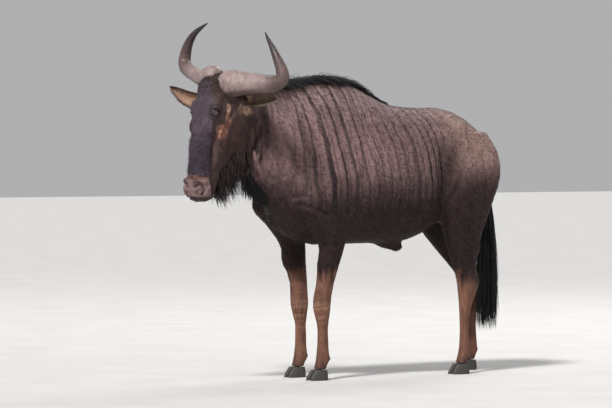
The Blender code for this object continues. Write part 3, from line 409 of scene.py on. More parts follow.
NECK_FOLDS = [
    # loose folds behind the jaw and down the throat: the path on the left side, width and height
    ([(-588, -82, 1100), (-586, -88, 990), (-556, -86, 890)], 9, -9),
    ([(-566, -96, 1120), (-562, -104, 1000), (-528, -100, 880), (-500, -86, 830)], 11, 5.5),
    ([(-540, -108, 1130), (-534, -116, 1010), (-500, -114, 890)], 10, -9),
    ([(-514, -116, 1140), (-506, -126, 1020), (-470, -124, 900), (-440, -106, 820)], 12, 5.225),
    ([(-484, -124, 1150), (-474, -134, 1030), (-440, -136, 910)], 11, -8),
    ([(-450, -130, 1160), (-440, -144, 1040), (-404, -146, 920)], 13, 3.85),
    ([(-414, -136, 1170), (-400, -152, 1040), (-366, -156, 930)], 12, -6.5),
    ([(-376, -146, 1180), (-360, -160, 1040), (-330, -166, 930)], 13, 2.75),
    ([(-340, -150, 1180), (-322, -166, 1060), (-296, -172, 960)], 12, -4.5),
]

# Where the neck's folds and the nostrils ended up on the skin, for hide_tone, which paints shade into the
# folds and the nostrils' slits.
FOLD_PATHS = []
NOSTRIL_PATHS = []

BODY_FOLDS = [
    # the hollow in front of the shoulder and the point of the shoulder
    ([(-330, -180, 1000), (-290, -200, 920), (-250, -200, 860)], 30, -8.585),
    ([(-270, -200, 850), (-240, -205, 800)], 34, 5.8),
    # creases between the breast and the foreleg
    ([(-330, -110, 790), (-290, -150, 770), (-240, -180, 740)], 11, -7.395),
    ([(-350, -70, 830), (-310, -110, 820)], 10, -4.93),
    # the muscles of the upper arm
    ([(-180, -215, 900), (-150, -215, 820), (-160, -195, 740)], 28, 3.6),
    ([(-120, -220, 930), (-90, -215, 840), (-100, -190, 750)], 16, -6.12),
    # the shoulder blade's edge and the hollow behind it
    ([(-60, -160, 1260), (-110, -200, 1120), (-170, -215, 990)], 20, 3.6),
    ([(10, -170, 1200), (-20, -215, 1050), (-40, -225, 900)], 28, -7.395),
    # the flank's fold and hollow
    ([(420, -150, 1060), (400, -190, 960), (400, -190, 860), (430, -170, 780)], 26, -9.86),
    ([(470, -160, 900), (440, -170, 800), (400, -150, 735)], 14, 5.05),
    # the thigh's two muscles
    ([(640, -150, 1020), (650, -160, 880), (630, -150, 760)], 18, -6.12),
    ([(560, -170, 1000), (560, -175, 860), (560, -160, 740)], 34, 2.9),
]


def mirrored(strokes):
    """The same strokes on the animal's right, across the neck's own bend."""
    both = []
    for path, width, rise in strokes:
        path = np.array(path, float)
        both.append((path, width, rise))
        middle = neck_sway(path[:, 0])
        other = path.copy()
        other[:, 1] = 2 * middle - path[:, 1]
        both.append((other, width, rise))
    return both


def in_metres(strokes):
    return [(np.array(path) * MM, width * MM, rise * MM) for path, width, rise in strokes]


def on_skin(mesh, strokes):
    """The strokes as finer paths, each point moved onto the skin."""
    tree = BVHTree.FromPolygons([v.co for v in mesh.vertices], [f.vertices for f in mesh.polygons])
    moved = []
    for path, width, rise in strokes:
        path = curve_through(path, 4 * len(path))
        moved.append(([np.array(tree.find_nearest(Vector(p))[0]) for p in path], width, rise))
    return moved


def head_strokes(mesh, strokes):
    """The strokes on both sides of the head, moved onto the skin."""
    return on_skin(mesh, [([on_head(side * a, b, c) for a, b, c in path], width, rise)
                          for path, width, rise in in_metres(strokes) for side in (1, -1)])


def ribs():
    """Soft hollows between the ribs."""
    lines = []
    for k in range(9):
        x = 0.02 + 0.042 * k
        hollow = [(x, -0.166, 1.15), (x + 0.04, -0.236, 0.99), (x + 0.03, -0.221, 0.83)]
        lines.append((hollow, 0.013, -0.0032))
    return lines


def cannon_middle(name, low, high):
    """The middle of a leg's lower bone, seen from above."""
    places = [v.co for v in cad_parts[name].data.vertices if low < v.co.z < high]
    return sum(c.x for c in places) / len(places), sum(c.y for c in places) / len(places)


def leg_details():
    """Tendons, veins and the wrinkles over the knees, on each leg in its own place."""
    lines = []
    for name in ("left_foreleg", "right_foreleg"):
        x, y = cannon_middle(name, 0.12, 0.26)
        for k in range(6):
            z = 0.345 + 0.017 * k
            wrinkle = [(x - 0.05, y - 0.03, z), (x - 0.056, y, z - 0.006), (x - 0.05, y + 0.03, z)]
            lines.append((wrinkle, 0.0042, -0.0026))
        for sign in (-1, 1):
            lines.append(([(x + 0.012, y + sign * 0.026, 0.3), (x + 0.014, y + sign * 0.024, 0.14)],
                          0.006, -0.0035))
            lines.append(([(x - 0.02, y + sign * 0.048, 0.6), (x - 0.03, y + sign * 0.042, 0.47)],
                          0.01, -0.004))
        for z, depth in ((0.33, -0.0045), (0.292, -0.0024), (0.262, -0.0024), (0.236, -0.0018)):
            ring = [(x + 0.03, y - 0.03, z + 0.004), (x, y - 0.044, z),
                    (x - 0.034, y - 0.026, z - 0.004), (x - 0.04, y, z - 0.004)]
            lines.append((ring, 0.004, depth))
    for name in ("left_hind_leg", "right_hind_leg"):
        x, y = cannon_middle(name, 0.14, 0.3)
        for sign in (-1, 1):
            lines.append(([(x + 0.012, y + sign * 0.028, 0.36), (x + 0.014, y + sign * 0.026, 0.15)],
                          0.006, -0.0035))
        for k in range(4):
            z = 0.4 + 0.02 * k
            wrinkle = [(x - 0.055, y - 0.028, z), (x - 0.06, y, z - 0.006), (x - 0.055, y + 0.028, z)]
            lines.append((wrinkle, 0.0045, -0.0022))
    return lines


def set_lids(mesh):
    """Sinks the skin behind each eyeball inside the slit and rolls a lid round it."""
    points = get_points(mesh)
    for side in (1, -1):
        centre = eye_centre(side)
        away = points - centre
        reach = np.linalg.norm(away, axis=1)
        close = np.flatnonzero(reach < 2.6 * EYE_RADIUS)
        away, reach = away[close], reach[close]
        outward = unit(away)
        local = outward @ HEAD_AXES
        look = -side * local[:, 1]
        ahead, rise = local[:, 0], local[:, 2]
        tilt = rise + 0.08 + 0.22 * ahead
        half_high = np.where(tilt > 0, 0.5, 0.4)
        opening = np.sqrt((tilt / half_high) ** 2 + ((ahead + 0.1) / 0.84) ** 2)
        facing = look > 0.15
        inside = smooth((1.08 - opening) / 0.16) * facing
        rim = np.exp(-(((opening - 1.18) / 0.13) ** 2)) * facing
        crease = np.exp(-(((opening - 1.55) / 0.12) ** 2)) * facing * np.where(tilt > 0, 1.0, 0.5)
        target = EYE_RADIUS + 0.0005 - 0.005 * inside + 0.0036 * rim
        pull = smooth((2.2 - opening) / 0.95) * facing
        wanted = reach + (target - reach) * pull - 0.0018 * crease
        points[close] = centre + outward * wanted[:, None]
    set_points(mesh, points)


def in_head(mesh):
    return get_points(mesh)[:, 0] < HEAD_END_X


def skin_mesh():
    """One closed skin: evened out, drawn in by the coat's depth, folded and sculpted."""
    flesh = joined_flesh()
    mesh = voxels(flesh, SKIN_VOXEL, "skin")
    bpy.data.objects.remove(flesh)
    points = get_points(mesh)
    body = (1 - leg_share(points)) * (1 - head_share(points))
    relaxed(mesh, 10, 0.5, 0.53)
    relaxed(mesh, 50, 0.5, 0.512, body)
    points = get_points(mesh)
    rump = smooth((points[:, 0] - 0.66) / 0.06) * smooth((points[:, 2] - 0.94) / 0.05)
    relaxed(mesh, 60, 0.5, 0.5, rump)
    relaxed(mesh, 40, 0.5, 0.0, smooth((0.085 - nearest(points, [TAIL_ROOT])) / 0.05))
    folds = on_skin(mesh, mirrored(in_metres(NECK_FOLDS)))
    FOLD_PATHS.extend((path, width) for path, width, rise in folds if rise < 0)
    sculpted(mesh, folds + on_skin(mesh, mirrored(in_metres(BODY_FOLDS) + ribs())))
    sculpted(mesh, on_skin(mesh, leg_details()))
    relaxed(mesh, 2, 0.4)
    wrinkle(mesh)
    inset(mesh)

    split_faces(mesh, in_head(mesh))
    relaxed(mesh, 4, 0.5, 0.0, in_head(mesh))
    sculpted(mesh, head_strokes(mesh, BROAD_HEAD_FORMS), in_head(mesh))
    points, normals = get_points(mesh), get_normals(mesh)
    set_points(mesh, points + normals * (PLATE_RISE * nose_plate(points))[:, None])
    centres = [on_head(s * a, b, c) for s in (1, -1) for a, b, c in FINE_PLACES]
    split_faces(mesh, nearest(get_points(mesh), centres) < 0.046)
    relaxed(mesh, 3, 0.5, 0.0, nearest(get_points(mesh), centres) < 0.044)
    fine = head_strokes(mesh, FINE_HEAD_FORMS)
    NOSTRIL_PATHS.extend(np.array(path) for path, _, _ in fine[:2])
    sculpted(mesh, fine, in_head(mesh))
    set_lids(mesh)
    relaxed(mesh, 1, 0.25, 0.0, in_head(mesh))
    mesh.shade_smooth()
    return mesh


def wrinkle(mesh):
    """Sinks the dark stripes a little and draws the fine upright wrinkles of the neck and shoulder."""
    points, normals = get_points(mesh), get_normals(mesh)
    x, y, z = points.T
    front = smooth((-0.02 - x) / 0.2) * smooth((z - 0.8) / 0.12) * (1 - head_share(points))
    body = (1 - leg_share(points)) * (1 - head_share(points)) * smooth((z - 0.72) / 0.1)
    lines = noise(points * (1.0, 0.5, 0.1), 0.014, 8) * 0.0016 * front
    lines += noise(points * (1.0, 0.5, 0.14), 0.02, 9) * 0.0004 * body
    lines -= 0.0022 * stripes(points)
    set_points(mesh, points + normals * lines[:, None])


def nose_plate(points):
    """1 on the rough, hairy plate of the nose."""
    side, back, up = head_places(points)
    ragged = 0.009 * noise(points, 0.016, 16)
    share = smooth((-0.082 - back + ragged) / 0.018) * smooth((up + 0.444 + ragged) / 0.024)
    share *= smooth((-0.225 - up + ragged) / 0.06)
    return share * head_share(points)


def inset(mesh):
    """Draws the skin in by the coat's depth."""
    points, normals = get_points(mesh), get_normals(mesh)
    legs, head = leg_share(points), head_share(points)
    depth = COAT_DEPTH_BODY + (COAT_DEPTH_LEGS - COAT_DEPTH_BODY) * legs
    depth += (COAT_DEPTH_HEAD - depth) * head
    set_points(mesh, points - normals * (depth + SEAM_OVERLAP)[:, None])


# Markings


def blend(colour, other, share):
    return colour + (np.array(other) - colour) * share[:, None]


def spot(points, place, radii):
    """A soft-edged spot on both sides of the head; place and radii are (side, back, up)."""
    side, back, up = head_places(points)
    away = np.sqrt(((np.abs(side) - place[0]) / radii[0]) ** 2 + ((back - place[1]) / radii[1]) ** 2
                   + ((up - place[2]) / radii[2]) ** 2)
    return smooth((1.35 - away) / 0.7)


def stripes(points):
    """Uneven dark brindle stripes down the neck and the side, from 0 to 1."""
    x, y, z = points.T
    lean = 0.055 * smooth((x + 0.36) / 0.2) - 0.055 * smooth((-0.3 - x) / 0.15)
    sweep = lean * smooth((1.38 - z) / 0.6) + 0.015 * smooth((x + 0.1) / 0.2) * smooth((1.38 - z) / 0.2)
    along = x - sweep + 0.016 * noise(points, 0.16, 4) + 0.004 * noise(points, 0.045, 5)
    phase = along / 0.047 + 0.4 * np.sin(along * 17.0) + 0.12 * np.sin(along * 41.0 + 1.0)
    number = np.floor(phase + 0.5)
    own = 0.5 + 0.5 * np.sin(number * 12.9898 + 4.1)
    wave = np.cos(2 * math.pi * phase)
    dark = smooth((wave - 0.7 + 0.3 * own) / 0.3) * (0.66 + 0.34 * own)
    dark *= 0.86 + 0.3 * noise(points * (1.0, 1.0, 0.3), 0.035, 6)
    thin = smooth((np.cos(2 * math.pi * (2 * phase + 0.3)) - 0.62) / 0.3) * 0.42 * smooth((1.28 - z) / 0.08)
    dark = np.maximum(dark, thin)
    fade = smooth((x + 0.52) / 0.34) * smooth((0.455 - x) / 0.09)
    fade *= smooth((z - 0.7) / 0.14)
    flank = smooth((x - 0.16) / 0.14) * smooth((1.14 - z) / 0.14)
    return np.clip(dark * fade * (0.88 + 0.4 * flank), 0, 1)


# The jaw's hind edge: how far back it is at each height of the head.
JAW_UP = (-0.56, -0.46, -0.4, -0.34, -0.28, -0.2, -0.12, -0.04)
JAW_BACK = (0.05, 0.066, 0.102, 0.126, 0.14, 0.147, 0.134, 0.1)


def before_jaw(points):
    """1 on the head and the throat just under it, 0 behind the jaw."""
    side, back, up = head_places(points)
    edge = np.interp(up, JAW_UP, JAW_BACK) + 0.006 * noise(points, 0.02, 14)
    return smooth((edge - back) / 0.012 + 0.5) * smooth((-0.47 - points[:, 0]) / 0.03)


def hide_tone(points):
    """The hide's colour anywhere on the animal, for the skin and the coat alike, with painted light and
    shade in it.
    """
    x, y, z = points.T
    cloud, patch, fleck = noise(points, 0.13, 1), noise(points, 0.04, 2), noise(points, 0.012, 3)
    streak = noise(points * (1.0, 1.0, 0.16), 0.016, 15)
    tone = body_tone(points, patch, streak)
    tone = leg_tone(tone, points, patch, streak)
    tail = smooth((x - 0.755) / 0.03) * smooth((z - 0.85) / 0.05)
    tone = blend(tone, DARK_BROWN_AND_SHADE, tail * 0.8)
    tone = tone + (face_tone(points, patch, fleck) - tone) * before_jaw(points)[:, None]
    uneven = 1 + 0.13 * cloud + 0.11 * patch + 0.09 * fleck + 0.1 * streak
    return np.clip(tone * uneven[:, None], 0, 1)


def body_tone(points, patch, streak):
    """Grey-brown, lighter on the back and paler on the rump, partly as painted light from above; dark
    below, partly dark hair and partly painted shade; with stripes, and painted shade in the neck's folds.
    """
    x, y, z = points.T
    side, back, up = head_places(points)
    # partly painted light: the back is lighter and the rump paler, partly their own colour and partly light
    # falling from above
    tone = blend(plain(GREY_BROWN, len(points)), BACK_GREY, smooth((z - 1.1) / 0.2) * 0.75)
    tone = blend(tone, RUMP_BROWN, smooth((x - 0.34) / 0.2) * smooth((z - 0.84) / 0.24))
    # darker below, in a band along the flank's fold, on the hind thigh and low on the chest: partly the
    # hide's own dark brown, partly painted shade where the body turns away from the light and in the
    # flank's hollow
    low = smooth((1.0 + 0.03 * streak - z) / 0.24) * (1 - 0.25 * smooth((x - 0.55) / 0.1))
    flank = np.exp(-(((x - 0.425 - 0.25 * (z - 0.95)) / 0.05) ** 2)) * smooth((1.16 - z) / 0.18)
    thigh = smooth((x - 0.4) / 0.1) * smooth((1.0 - z) / 0.16)
    chest = smooth((-0.34 - x) / 0.16) * smooth((0.98 - z) / 0.12)
    for share in (low * 0.95, flank * 0.8, thigh * 0.75, chest * 0.55):
        tone = blend(tone, DARK_BROWN_AND_SHADE, share)
    tone = blend(tone, STRIPE_BLACK, stripes(points) * 0.93)
    crest = np.exp(-(((y - neck_sway(x)) / 0.026) ** 2)) * smooth((z - 1.15) / 0.05)
    tone = blend(tone, BLACK_HAIR, np.clip(crest * smooth((0.36 - x) / 0.3) * 1.3, 0, 1))
    # painted shade in the groove behind the jaw, over the throat's own darker hair
    behind = np.exp(-(((back - 0.18) / 0.036) ** 2)) * smooth((-0.06 - up) / 0.05)
    behind = behind * smooth((x + 0.7) / 0.04) * 0.88 * smooth((up + 0.4) / 0.12)
    tone = blend(tone, DARK_BROWN_AND_SHADE, behind)
    # painted shade in the hollows of the neck's folds
    fold = np.zeros(len(points))
    near = np.flatnonzero((x < -0.24) & (z > 0.74) & (z < 1.26))
    for path, width in FOLD_PATHS:
        hollow = np.exp(-((path_distance(points[near], path) / width) ** 2))
        fold[near] = np.maximum(fold[near], hollow)
    return blend(tone, DARK_BROWN_AND_SHADE, fold * np.clip(0.62 + 0.25 * patch, 0, 1))


def leg_tone(tone, points, patch, streak):
    """Dark above a ragged border, rusty below it, paler over the knees as painted highlights."""
    x, y, z = points.T
    legs = leg_share(points)
    border = 0.53 - 0.06 * (x > 0.3) + 0.03 * patch + 0.055 * streak
    tone = blend(tone, DARK_BROWN_AND_SHADE, legs * 0.8)
    tone = blend(tone, RUSTY, legs * smooth((border - z) / 0.12) * (0.9 + 0.1 * patch))
    # painted highlights: pale bands over the front knees
    pale = np.exp(-(((z - 0.335) / 0.016) ** 2)) + 0.6 * np.exp(-(((z - 0.28) / 0.008) ** 2))
    tone = blend(tone, TAN, legs * np.clip(pale * (x < 0.2), 0, 1) * np.clip(0.16 + 0.2 * streak, 0, 1))
    tone = blend(tone, DARK_BROWN_AND_SHADE, smooth((0.105 - z) / 0.05) * 0.5)
    return blend(tone, DARK_BROWN_AND_SHADE, legs * smooth((0.5 - z) / 0.08) * smooth(streak / 0.7) * 0.45)


def face_tone(points, patch, fleck):
    """Slate down the nose, brown cheeks, tan and orange marks, a paler muzzle, dark lips and lids, and
    painted shade in the nostrils' slits.
    """
    side, back, up = head_places(points)

    def broken(solid, by_patch, by_fleck):
        return np.clip(solid + by_patch * patch + by_fleck * fleck, 0, 1)

    face = blend(plain(FACE_BROWN, len(points)), BROWN_HAIR, smooth((up + 0.1) / 0.05))
    face = blend(face, SLATE, smooth((-0.08 - back) / 0.03) * smooth((up + 0.29) / 0.06) * 0.8)
    face = blend(face, CHEEK_BROWN, smooth((back + 0.06) / 0.05) * smooth((-0.15 - up) / 0.04))
    face = blend(face, DARK_BROWN_AND_SHADE, smooth((back - 0.02) / 0.06) * smooth((-0.34 - up) / 0.06) * 0.6)
    face = blend(face, SLATE, nose_plate(points) * 0.95)
    gland = spot(points, (0.07, -0.046, -0.236), (0.05, 0.027, 0.034)) * broken(0.85, 0.3, 0.3)
    face = blend(face, ORANGE, gland)
    face = blend(face, TAN, gland * smooth((fleck - 0.1) / 0.5) * 0.22)
    behind_eye = spot(points, (0.078, -0.02, -0.13), (0.05, 0.01, 0.019)) * broken(0.55, 0.0, 0.5)
    face = blend(face, TAN, behind_eye)
    face = blend(face, ORANGE, spot(points, (0.078, -0.02, -0.18), (0.05, 0.013, 0.04)) * 0.7)
    under_ear = spot(points, (0.078, 0.074, -0.128), (0.07, 0.046, 0.036)) * broken(0.42, 0.0, 0.5)
    face = blend(face, TAN, under_ear)
    line = smooth((0.009 - np.abs(back + 0.076)) / 0.007) * smooth((-0.25 - up) / 0.02)
    face = blend(face, ORANGE, line * smooth((up + 0.46) / 0.03) * broken(0.1, 0.45, 0.0))
    front = smooth((-0.085 - back) / 0.02)
    face = blend(face, MUZZLE, smooth((-0.44 - up + 0.008 * fleck) / 0.018) * front)
    rim = smooth((0.016 - np.abs(up + 0.438)) / 0.016) * smooth((-0.1 - back) / 0.02)
    face = blend(face, ORANGE, rim * 0.35)
    face = blend(face, LIP, smooth((-0.516 - up) / 0.01) * 0.8)
    # painted shade inside the nostrils' slits
    slit = np.min([path_distance(points, path) for path in NOSTRIL_PATHS], axis=0)
    face = blend(face, NOSTRIL_SLIT_SHADE, smooth((0.0095 - slit) / 0.0045) * 0.97)
    return blend(face, LID_DARK, smooth((EYE_RADIUS + 0.007 - eye_distance(points)) / 0.006) * 0.85)


# Hair


def mesh_from_arrays(name, points, triangles, tones, uvs):
    """A mesh of triangles with a colour for each point and an OFBake map."""
    mesh = bpy.data.meshes.new(name)
    mesh.vertices.add(len(points))
    mesh.vertices.foreach_set("co", points.ravel())
    mesh.loops.add(triangles.size)
    mesh.loops.foreach_set("vertex_index", triangles.ravel().astype(np.int32))
    mesh.polygons.add(len(triangles))
    mesh.polygons.foreach_set("loop_start", np.arange(0, triangles.size, 3, dtype=np.int32))
    mesh.update(calc_edges=True)
    set_tones(mesh, tones)
    layer = mesh.uv_layers.new(name="OFBake")
    layer.data.foreach_set("uv", uvs[triangles.ravel()].ravel())
    mesh.validate()
    mesh.shade_smooth()
    return mesh


def set_tones(mesh, tones):
    attribute = mesh.color_attributes.new("tone", "FLOAT_COLOR", "POINT")
    rgba = np.ones((len(tones), 4))
    rgba[:, :3] = tones
    attribute.data.foreach_set("color", rgba.ravel())


def grown(roots, headings, lengths, pulls, steps, waves=0.0, turns=1.5):
    """Paths of hairs that start along headings and bend by pulls; waves sways them."""
    count = len(roots)
    paths = np.empty((count, steps + 1, 3))
    paths[:, 0] = roots
    heading = unit(headings)
    sway_a, sway_b = unit(chance.normal(size=(count, 3))), unit(chance.normal(size=(count, 3)))
    start = chance.uniform(0, 2 * math.pi, count)
    for k in range(steps):
        t = (k + 0.5) / steps
        swing = np.sin(start + turns * 2 * math.pi * t)[:, None] * sway_a
        swing += np.cos(start + turns * 1.7 * math.pi * t)[:, None] * sway_b
        heading = unit(heading + pulls / steps)
        stepped = unit(heading + waves * swing)
        paths[:, k + 1] = paths[:, k] + stepped * (lengths / steps)[:, None]
    return paths


def blades(paths, widths, thickness, spreads):
    """Three-sided blades along the paths, closed at the root and pointed at the tip."""
    count, rows, _ = paths.shape
    sections = rows - 1
    tangents = unit(np.gradient(paths, axis=1))
    spread = spreads[:, None, :]
    flat = unit(spread - tangents * np.sum(spread * tangents, axis=2, keepdims=True))
    up = np.cross(tangents, flat)
    flat, up = flat[:, :sections], up[:, :sections]
    t = np.arange(sections) / sections
    full = (0.62 + 0.75 * t - 1.25 * t**2.2)[None, :, None]
    wide = widths[:, None, None] * full / 2
    high = thickness[:, None, None] * full
    middle = paths[:, :sections]
    rings = np.stack([middle + flat * wide - up * high * 0.35, middle + up * high * 0.65,
                      middle - flat * wide - up * high * 0.35], axis=2)
    per = 3 * sections + 1
    points = np.concatenate([rings.reshape(count, -1, 3), paths[:, -1:]], axis=1)
    faces = [(0, 1, 2)]
    for k in range(sections - 1):
        for i in range(3):
            j = (i + 1) % 3
            a, b = 3 * k + i, 3 * k + j
            faces.append((a, b + 3, b))
            faces.append((a, a + 3, b + 3))
    last = 3 * (sections - 1)
    faces += [(last + i, per - 1, last + (i + 1) % 3) for i in range(3)]
    triangles = np.array(faces)[None] + (np.arange(count) * per)[:, None, None]
    across = np.tile((0.0, 0.5, 1.0), sections)
    along = np.repeat(t, 3)
    patch = np.column_stack([np.append(across, 0.5), np.append(along, 1.0)]) - 0.5
    return points.reshape(-1, 3), triangles.reshape(-1, 3), patch, per


BAKE_PATCH = 0.003


class Unwrap:
    """A coarse unwrap of the skin's own shape, to look up a root's place on it."""

    def __init__(self, skin):
        mesh = voxels(skin, 0.016, "unwrapped")
        coarse = new_object("unwrapped", mesh)
        bpy.context.view_layer.objects.active = coarse
        coarse.select_set(True)
        bpy.ops.object.mode_set(mode="EDIT")
        bpy.ops.mesh.select_all(action="SELECT")
        bpy.ops.uv.smart_project(angle_limit=math.radians(60), island_margin=0.004)
        bpy.ops.object.mode_set(mode="OBJECT")
        mesh.calc_loop_triangles()
        self.points = get_points(mesh)
        self.corners = rows_of(mesh.loop_triangles, "vertices", 3, np.int64)
        self.loops = rows_of(mesh.loop_triangles, "loops", 3, np.int64)
        self.uv = rows_of(mesh.uv_layers.active.data, "uv", 2)
        self.tree = BVHTree.FromPolygons(self.points.tolist(), self.corners.tolist())
        bpy.data.objects.remove(coarse)

    def places(self, roots):
        found = [self.tree.find_nearest(Vector(r)) for r in roots]
        index = np.array([f[2] for f in found])
        near = np.array([f[0][:] for f in found])
        a, b, c = (self.points[self.corners[index, k]] for k in range(3))
        normal = np.cross(b - a, c - a)
        area = np.maximum(np.sum(normal * normal, axis=1), 1e-18)
        wb = np.sum(np.cross(near - a, c - a) * normal, axis=1) / area
        wc = np.sum(np.cross(b - a, near - a) * normal, axis=1) / area
        weights = np.column_stack([1 - wb - wc, wb, wc])
        return np.sum(self.uv[self.loops[index]] * weights[:, :, None], axis=1)


def hair_object(name, paths, widths, thickness, spreads, tones, unwrap, material, slot="hair"):
    """One joined piece of hair, with each tuft's patch at its root's place."""
    points, triangles, patch, per = blades(paths, widths, thickness, spreads)
    roots = unwrap.places(paths[:, 0])
    uvs = (roots[:, None, :] + patch[None] * BAKE_PATCH).reshape(-1, 2)
    uvs = np.clip(uvs, 0.0005, 0.9995)
    mesh = mesh_from_arrays(name, points, triangles, np.repeat(tones, per, axis=0), uvs)
    obj = new_object(name, mesh)
    mesh.materials.append(material)
    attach(obj, "root")
    return obj


class Surface:
    """The finished skin, to draw roots from and to keep hair out of."""

    def __init__(self, mesh):
        mesh.calc_loop_triangles()
        self.points, self.normals = get_points(mesh), get_normals(mesh)
        self.corners = rows_of(mesh.loop_triangles, "vertices", 3, np.int64)
        a, b, c = (self.points[self.corners[:, k]] for k in range(3))
        self.areas = np.linalg.norm(np.cross(b - a, c - a), axis=1) / 2
        self.centres = (a + b + c) / 3
        self.tree = BVHTree.FromPolygons(self.points.tolist(), self.corners.tolist())

    def roots(self, count, density):
        """That many roots, drawn by area times density, with their normals."""
        weight = self.areas * density
        picked = chance.choice(len(weight), count, p=weight / weight.sum())
        u, v = chance.uniform(size=count), chance.uniform(size=count)
        over = u + v > 1
        u[over], v[over] = 1 - u[over], 1 - v[over]
        share = np.column_stack([1 - u - v, u, v])[:, :, None]
        corners = self.corners[picked]
        normals = unit(np.sum(self.normals[corners] * share, axis=1))
        return np.sum(self.points[corners] * share, axis=1), normals

    def crest(self, x, y):
        """The highest point of the skin over a place."""
        hit = self.tree.ray_cast(Vector((x, y, 2.0)), Vector((0, 0, -1)))
        return np.array(hit[0])

    def settled(self, points, chosen):
        """Moves the chosen points onto the skin."""
        for k in np.flatnonzero(chosen):
            near, normal, _, _ = self.tree.find_nearest(Vector(points[k]))
            points[k] = np.array(near - normal * 0.002)
        return points

    def cleared(self, paths, clearance):
        """Lifts the paths' points out of the skin, past their roots."""
        for path in paths:
            for k in range(1, len(path)):
                near, normal, _, far = self.tree.find_nearest(Vector(path[k]), 0.06)
                if near is None:
                    continue
                height = (Vector(path[k]) - near).dot(normal)
                wanted = clearance * min(1.0, k / 2)
                if height < wanted:
                    path[k] += np.array(normal) * (wanted - height)
        return paths


def coat_lie(points, normals):
    """The way the short coat lies: back and down the body, down the legs, up and back over the face."""
    x, y, z = points.T
    legs, head = leg_share(points)[:, None], head_share(points)[:, None]
    down = smooth((1.36 - z) / 0.3)[:, None]
    body = np.array((1.0, 0.0, -0.2)) + down * np.array((-0.45, 0.0, -0.8))
    leg = np.array((0.1, 0.0, -1.0))
    side, back, up = head_places(points)
    cheek = smooth((back + 0.1) / 0.06)[:, None]
    face = cheek * head_direction(0, 0.9, -0.45) + (1 - cheek) * head_direction(0, 0.15, 1.0)
    lie = body * (1 - legs) + leg * legs
    lie = lie * (1 - head) + face * head
    lie = unit(lie) + 0.07 * np.column_stack([noise(points, 0.07, s) for s in (11, 12, 13)])
    lie -= normals * np.sum(lie * normals, axis=1, keepdims=True)
    return unit(lie)


def coat(surface, unwrap, material, name, count, density, length, width, lift):
    """Short tufts that lie along the skin; length, width and lift are functions of the roots' places."""
    roots, normals = surface.roots(count, density)
    lie = coat_lie(roots, normals)
    plate = nose_plate(roots)
    lie = unit(lie + (0.045 + 0.28 * plate)[:, None] * chance.normal(size=lie.shape))
    lengths = length(roots) * chance.uniform(0.7, 1.25, count)
    widths = width(roots) * chance.uniform(0.75, 1.25, count)
    rise = lift(roots) * chance.uniform(0.5, 1.4, count)
    start = roots - normals * 0.0012
    middle = roots + lie * (lengths * 0.5)[:, None] + normals * (rise * 0.9)[:, None]
    tip = roots + lie * lengths[:, None] + normals * (rise * 1.0)[:, None]
    paths = np.stack([start, middle, tip], axis=1)
    jitter = 1 + (chance.uniform(-0.1, 0.13, (count, 1)) * (1 + 1.5 * plate)[:, None])
    tones = hide_tone(roots + lie * (lengths * 0.4)[:, None]) * jitter
    spreads = np.cross(lie, normals)
    tones = np.clip(tones, 0, 1)
    return hair_object(name, paths, widths, widths * 0.26, spreads, tones, unwrap, material, "hide")


def bare(points):
    """1 where no short hair grows: on the eyelids and round the nostrils and lips."""
    side, back, up = head_places(points)
    lids = smooth((EYE_RADIUS + 0.006 - eye_distance(points)) / 0.003)
    nose = smooth((-0.452 - up) / 0.01) * smooth((-0.1 - back) / 0.01)
    return np.clip(lids + nose, 0, 1)


TUFTS = 19500  # in each piece of the short coat


def short_coat(surface, unwrap, material):
    """The short coat in five pieces, with soft borders between them."""
    centres = surface.centres
    legs, head = leg_share(centres), head_share(centres)
    torso = np.clip(1 - legs - head, 0, 1)
    middle = smooth((centres[:, 0] + 0.04) / 0.08)
    rear = smooth((centres[:, 0] - 0.32) / 0.08)
    sizes = (lambda p: 0.017 + 0.007 * smooth((p[:, 2] - 1.1) / 0.2), lambda p: np.full(len(p), 0.0023),
             lambda p: np.full(len(p), 0.0008))
    for word, share in (("front", torso * (1 - middle)), ("middle", torso * middle * (1 - rear)),
                        ("rear", torso * rear)):
        coat(surface, unwrap, material, f"coat_{word}", TUFTS, share, *sizes)
    coat(surface, unwrap, material, "coat_legs", TUFTS, legs,
         lambda p: 0.008 + 0.008 * smooth((p[:, 2] - 0.3) / 0.35),
         lambda p: 0.0013 + 0.0009 * smooth((p[:, 2] - 0.3) / 0.35), lambda p: np.full(len(p), 0.0006))
    on_face = head * (1 - bare(centres)) * (1 + nose_plate(centres))
    coat(surface, unwrap, material, "coat_head", TUFTS, on_face,
         face_length, lambda p: np.full(len(p), 0.0013), face_lift)


def face_length(points):
    side, back, up = head_places(points)
    crown = smooth((up + 0.085) / 0.05)
    return 0.0058 + 0.0065 * nose_plate(points) + 0.014 * crown + 0.006 * smooth((back - 0.02) / 0.1)


def face_lift(points):
    side, back, up = head_places(points)
    return 0.0005 + 0.0034 * nose_plate(points) + 0.003 * smooth((up + 0.085) / 0.05)


def long_hair(name, node, paths, thick_share, thick, thin, colours, brightness, spreads, *rest):
    """A piece of long hairs, a share of them thick, for a solid of the frame."""
    count = len(paths)
    widths = np.where(chance.uniform(size=count) < thick_share, thick, thin)
    widths = widths * chance.uniform(0.7, 1.3, count)
    tones = colours(count) * chance.uniform(*brightness, (count, 1))
    piece = hair_object(name, paths, widths, widths * 0.35, spreads(count), tones, *rest)
    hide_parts(node)


def black(count):
    return plain(BLACK_HAIR, count)


def sideways(count):
    """Flat sides that face mostly sideways."""
    return unit(np.column_stack([np.ones(count), chance.normal(0, 0.7, count), np.zeros(count)]))


def tallness(x):
    """The mane's height along the crest, from 0 to 1."""
    front = 1 - 0.45 * np.exp(-(((x + 0.285) / 0.05) ** 2))
    return front * (1 - 0.78 * smooth((x + 0.17) / 0.34))


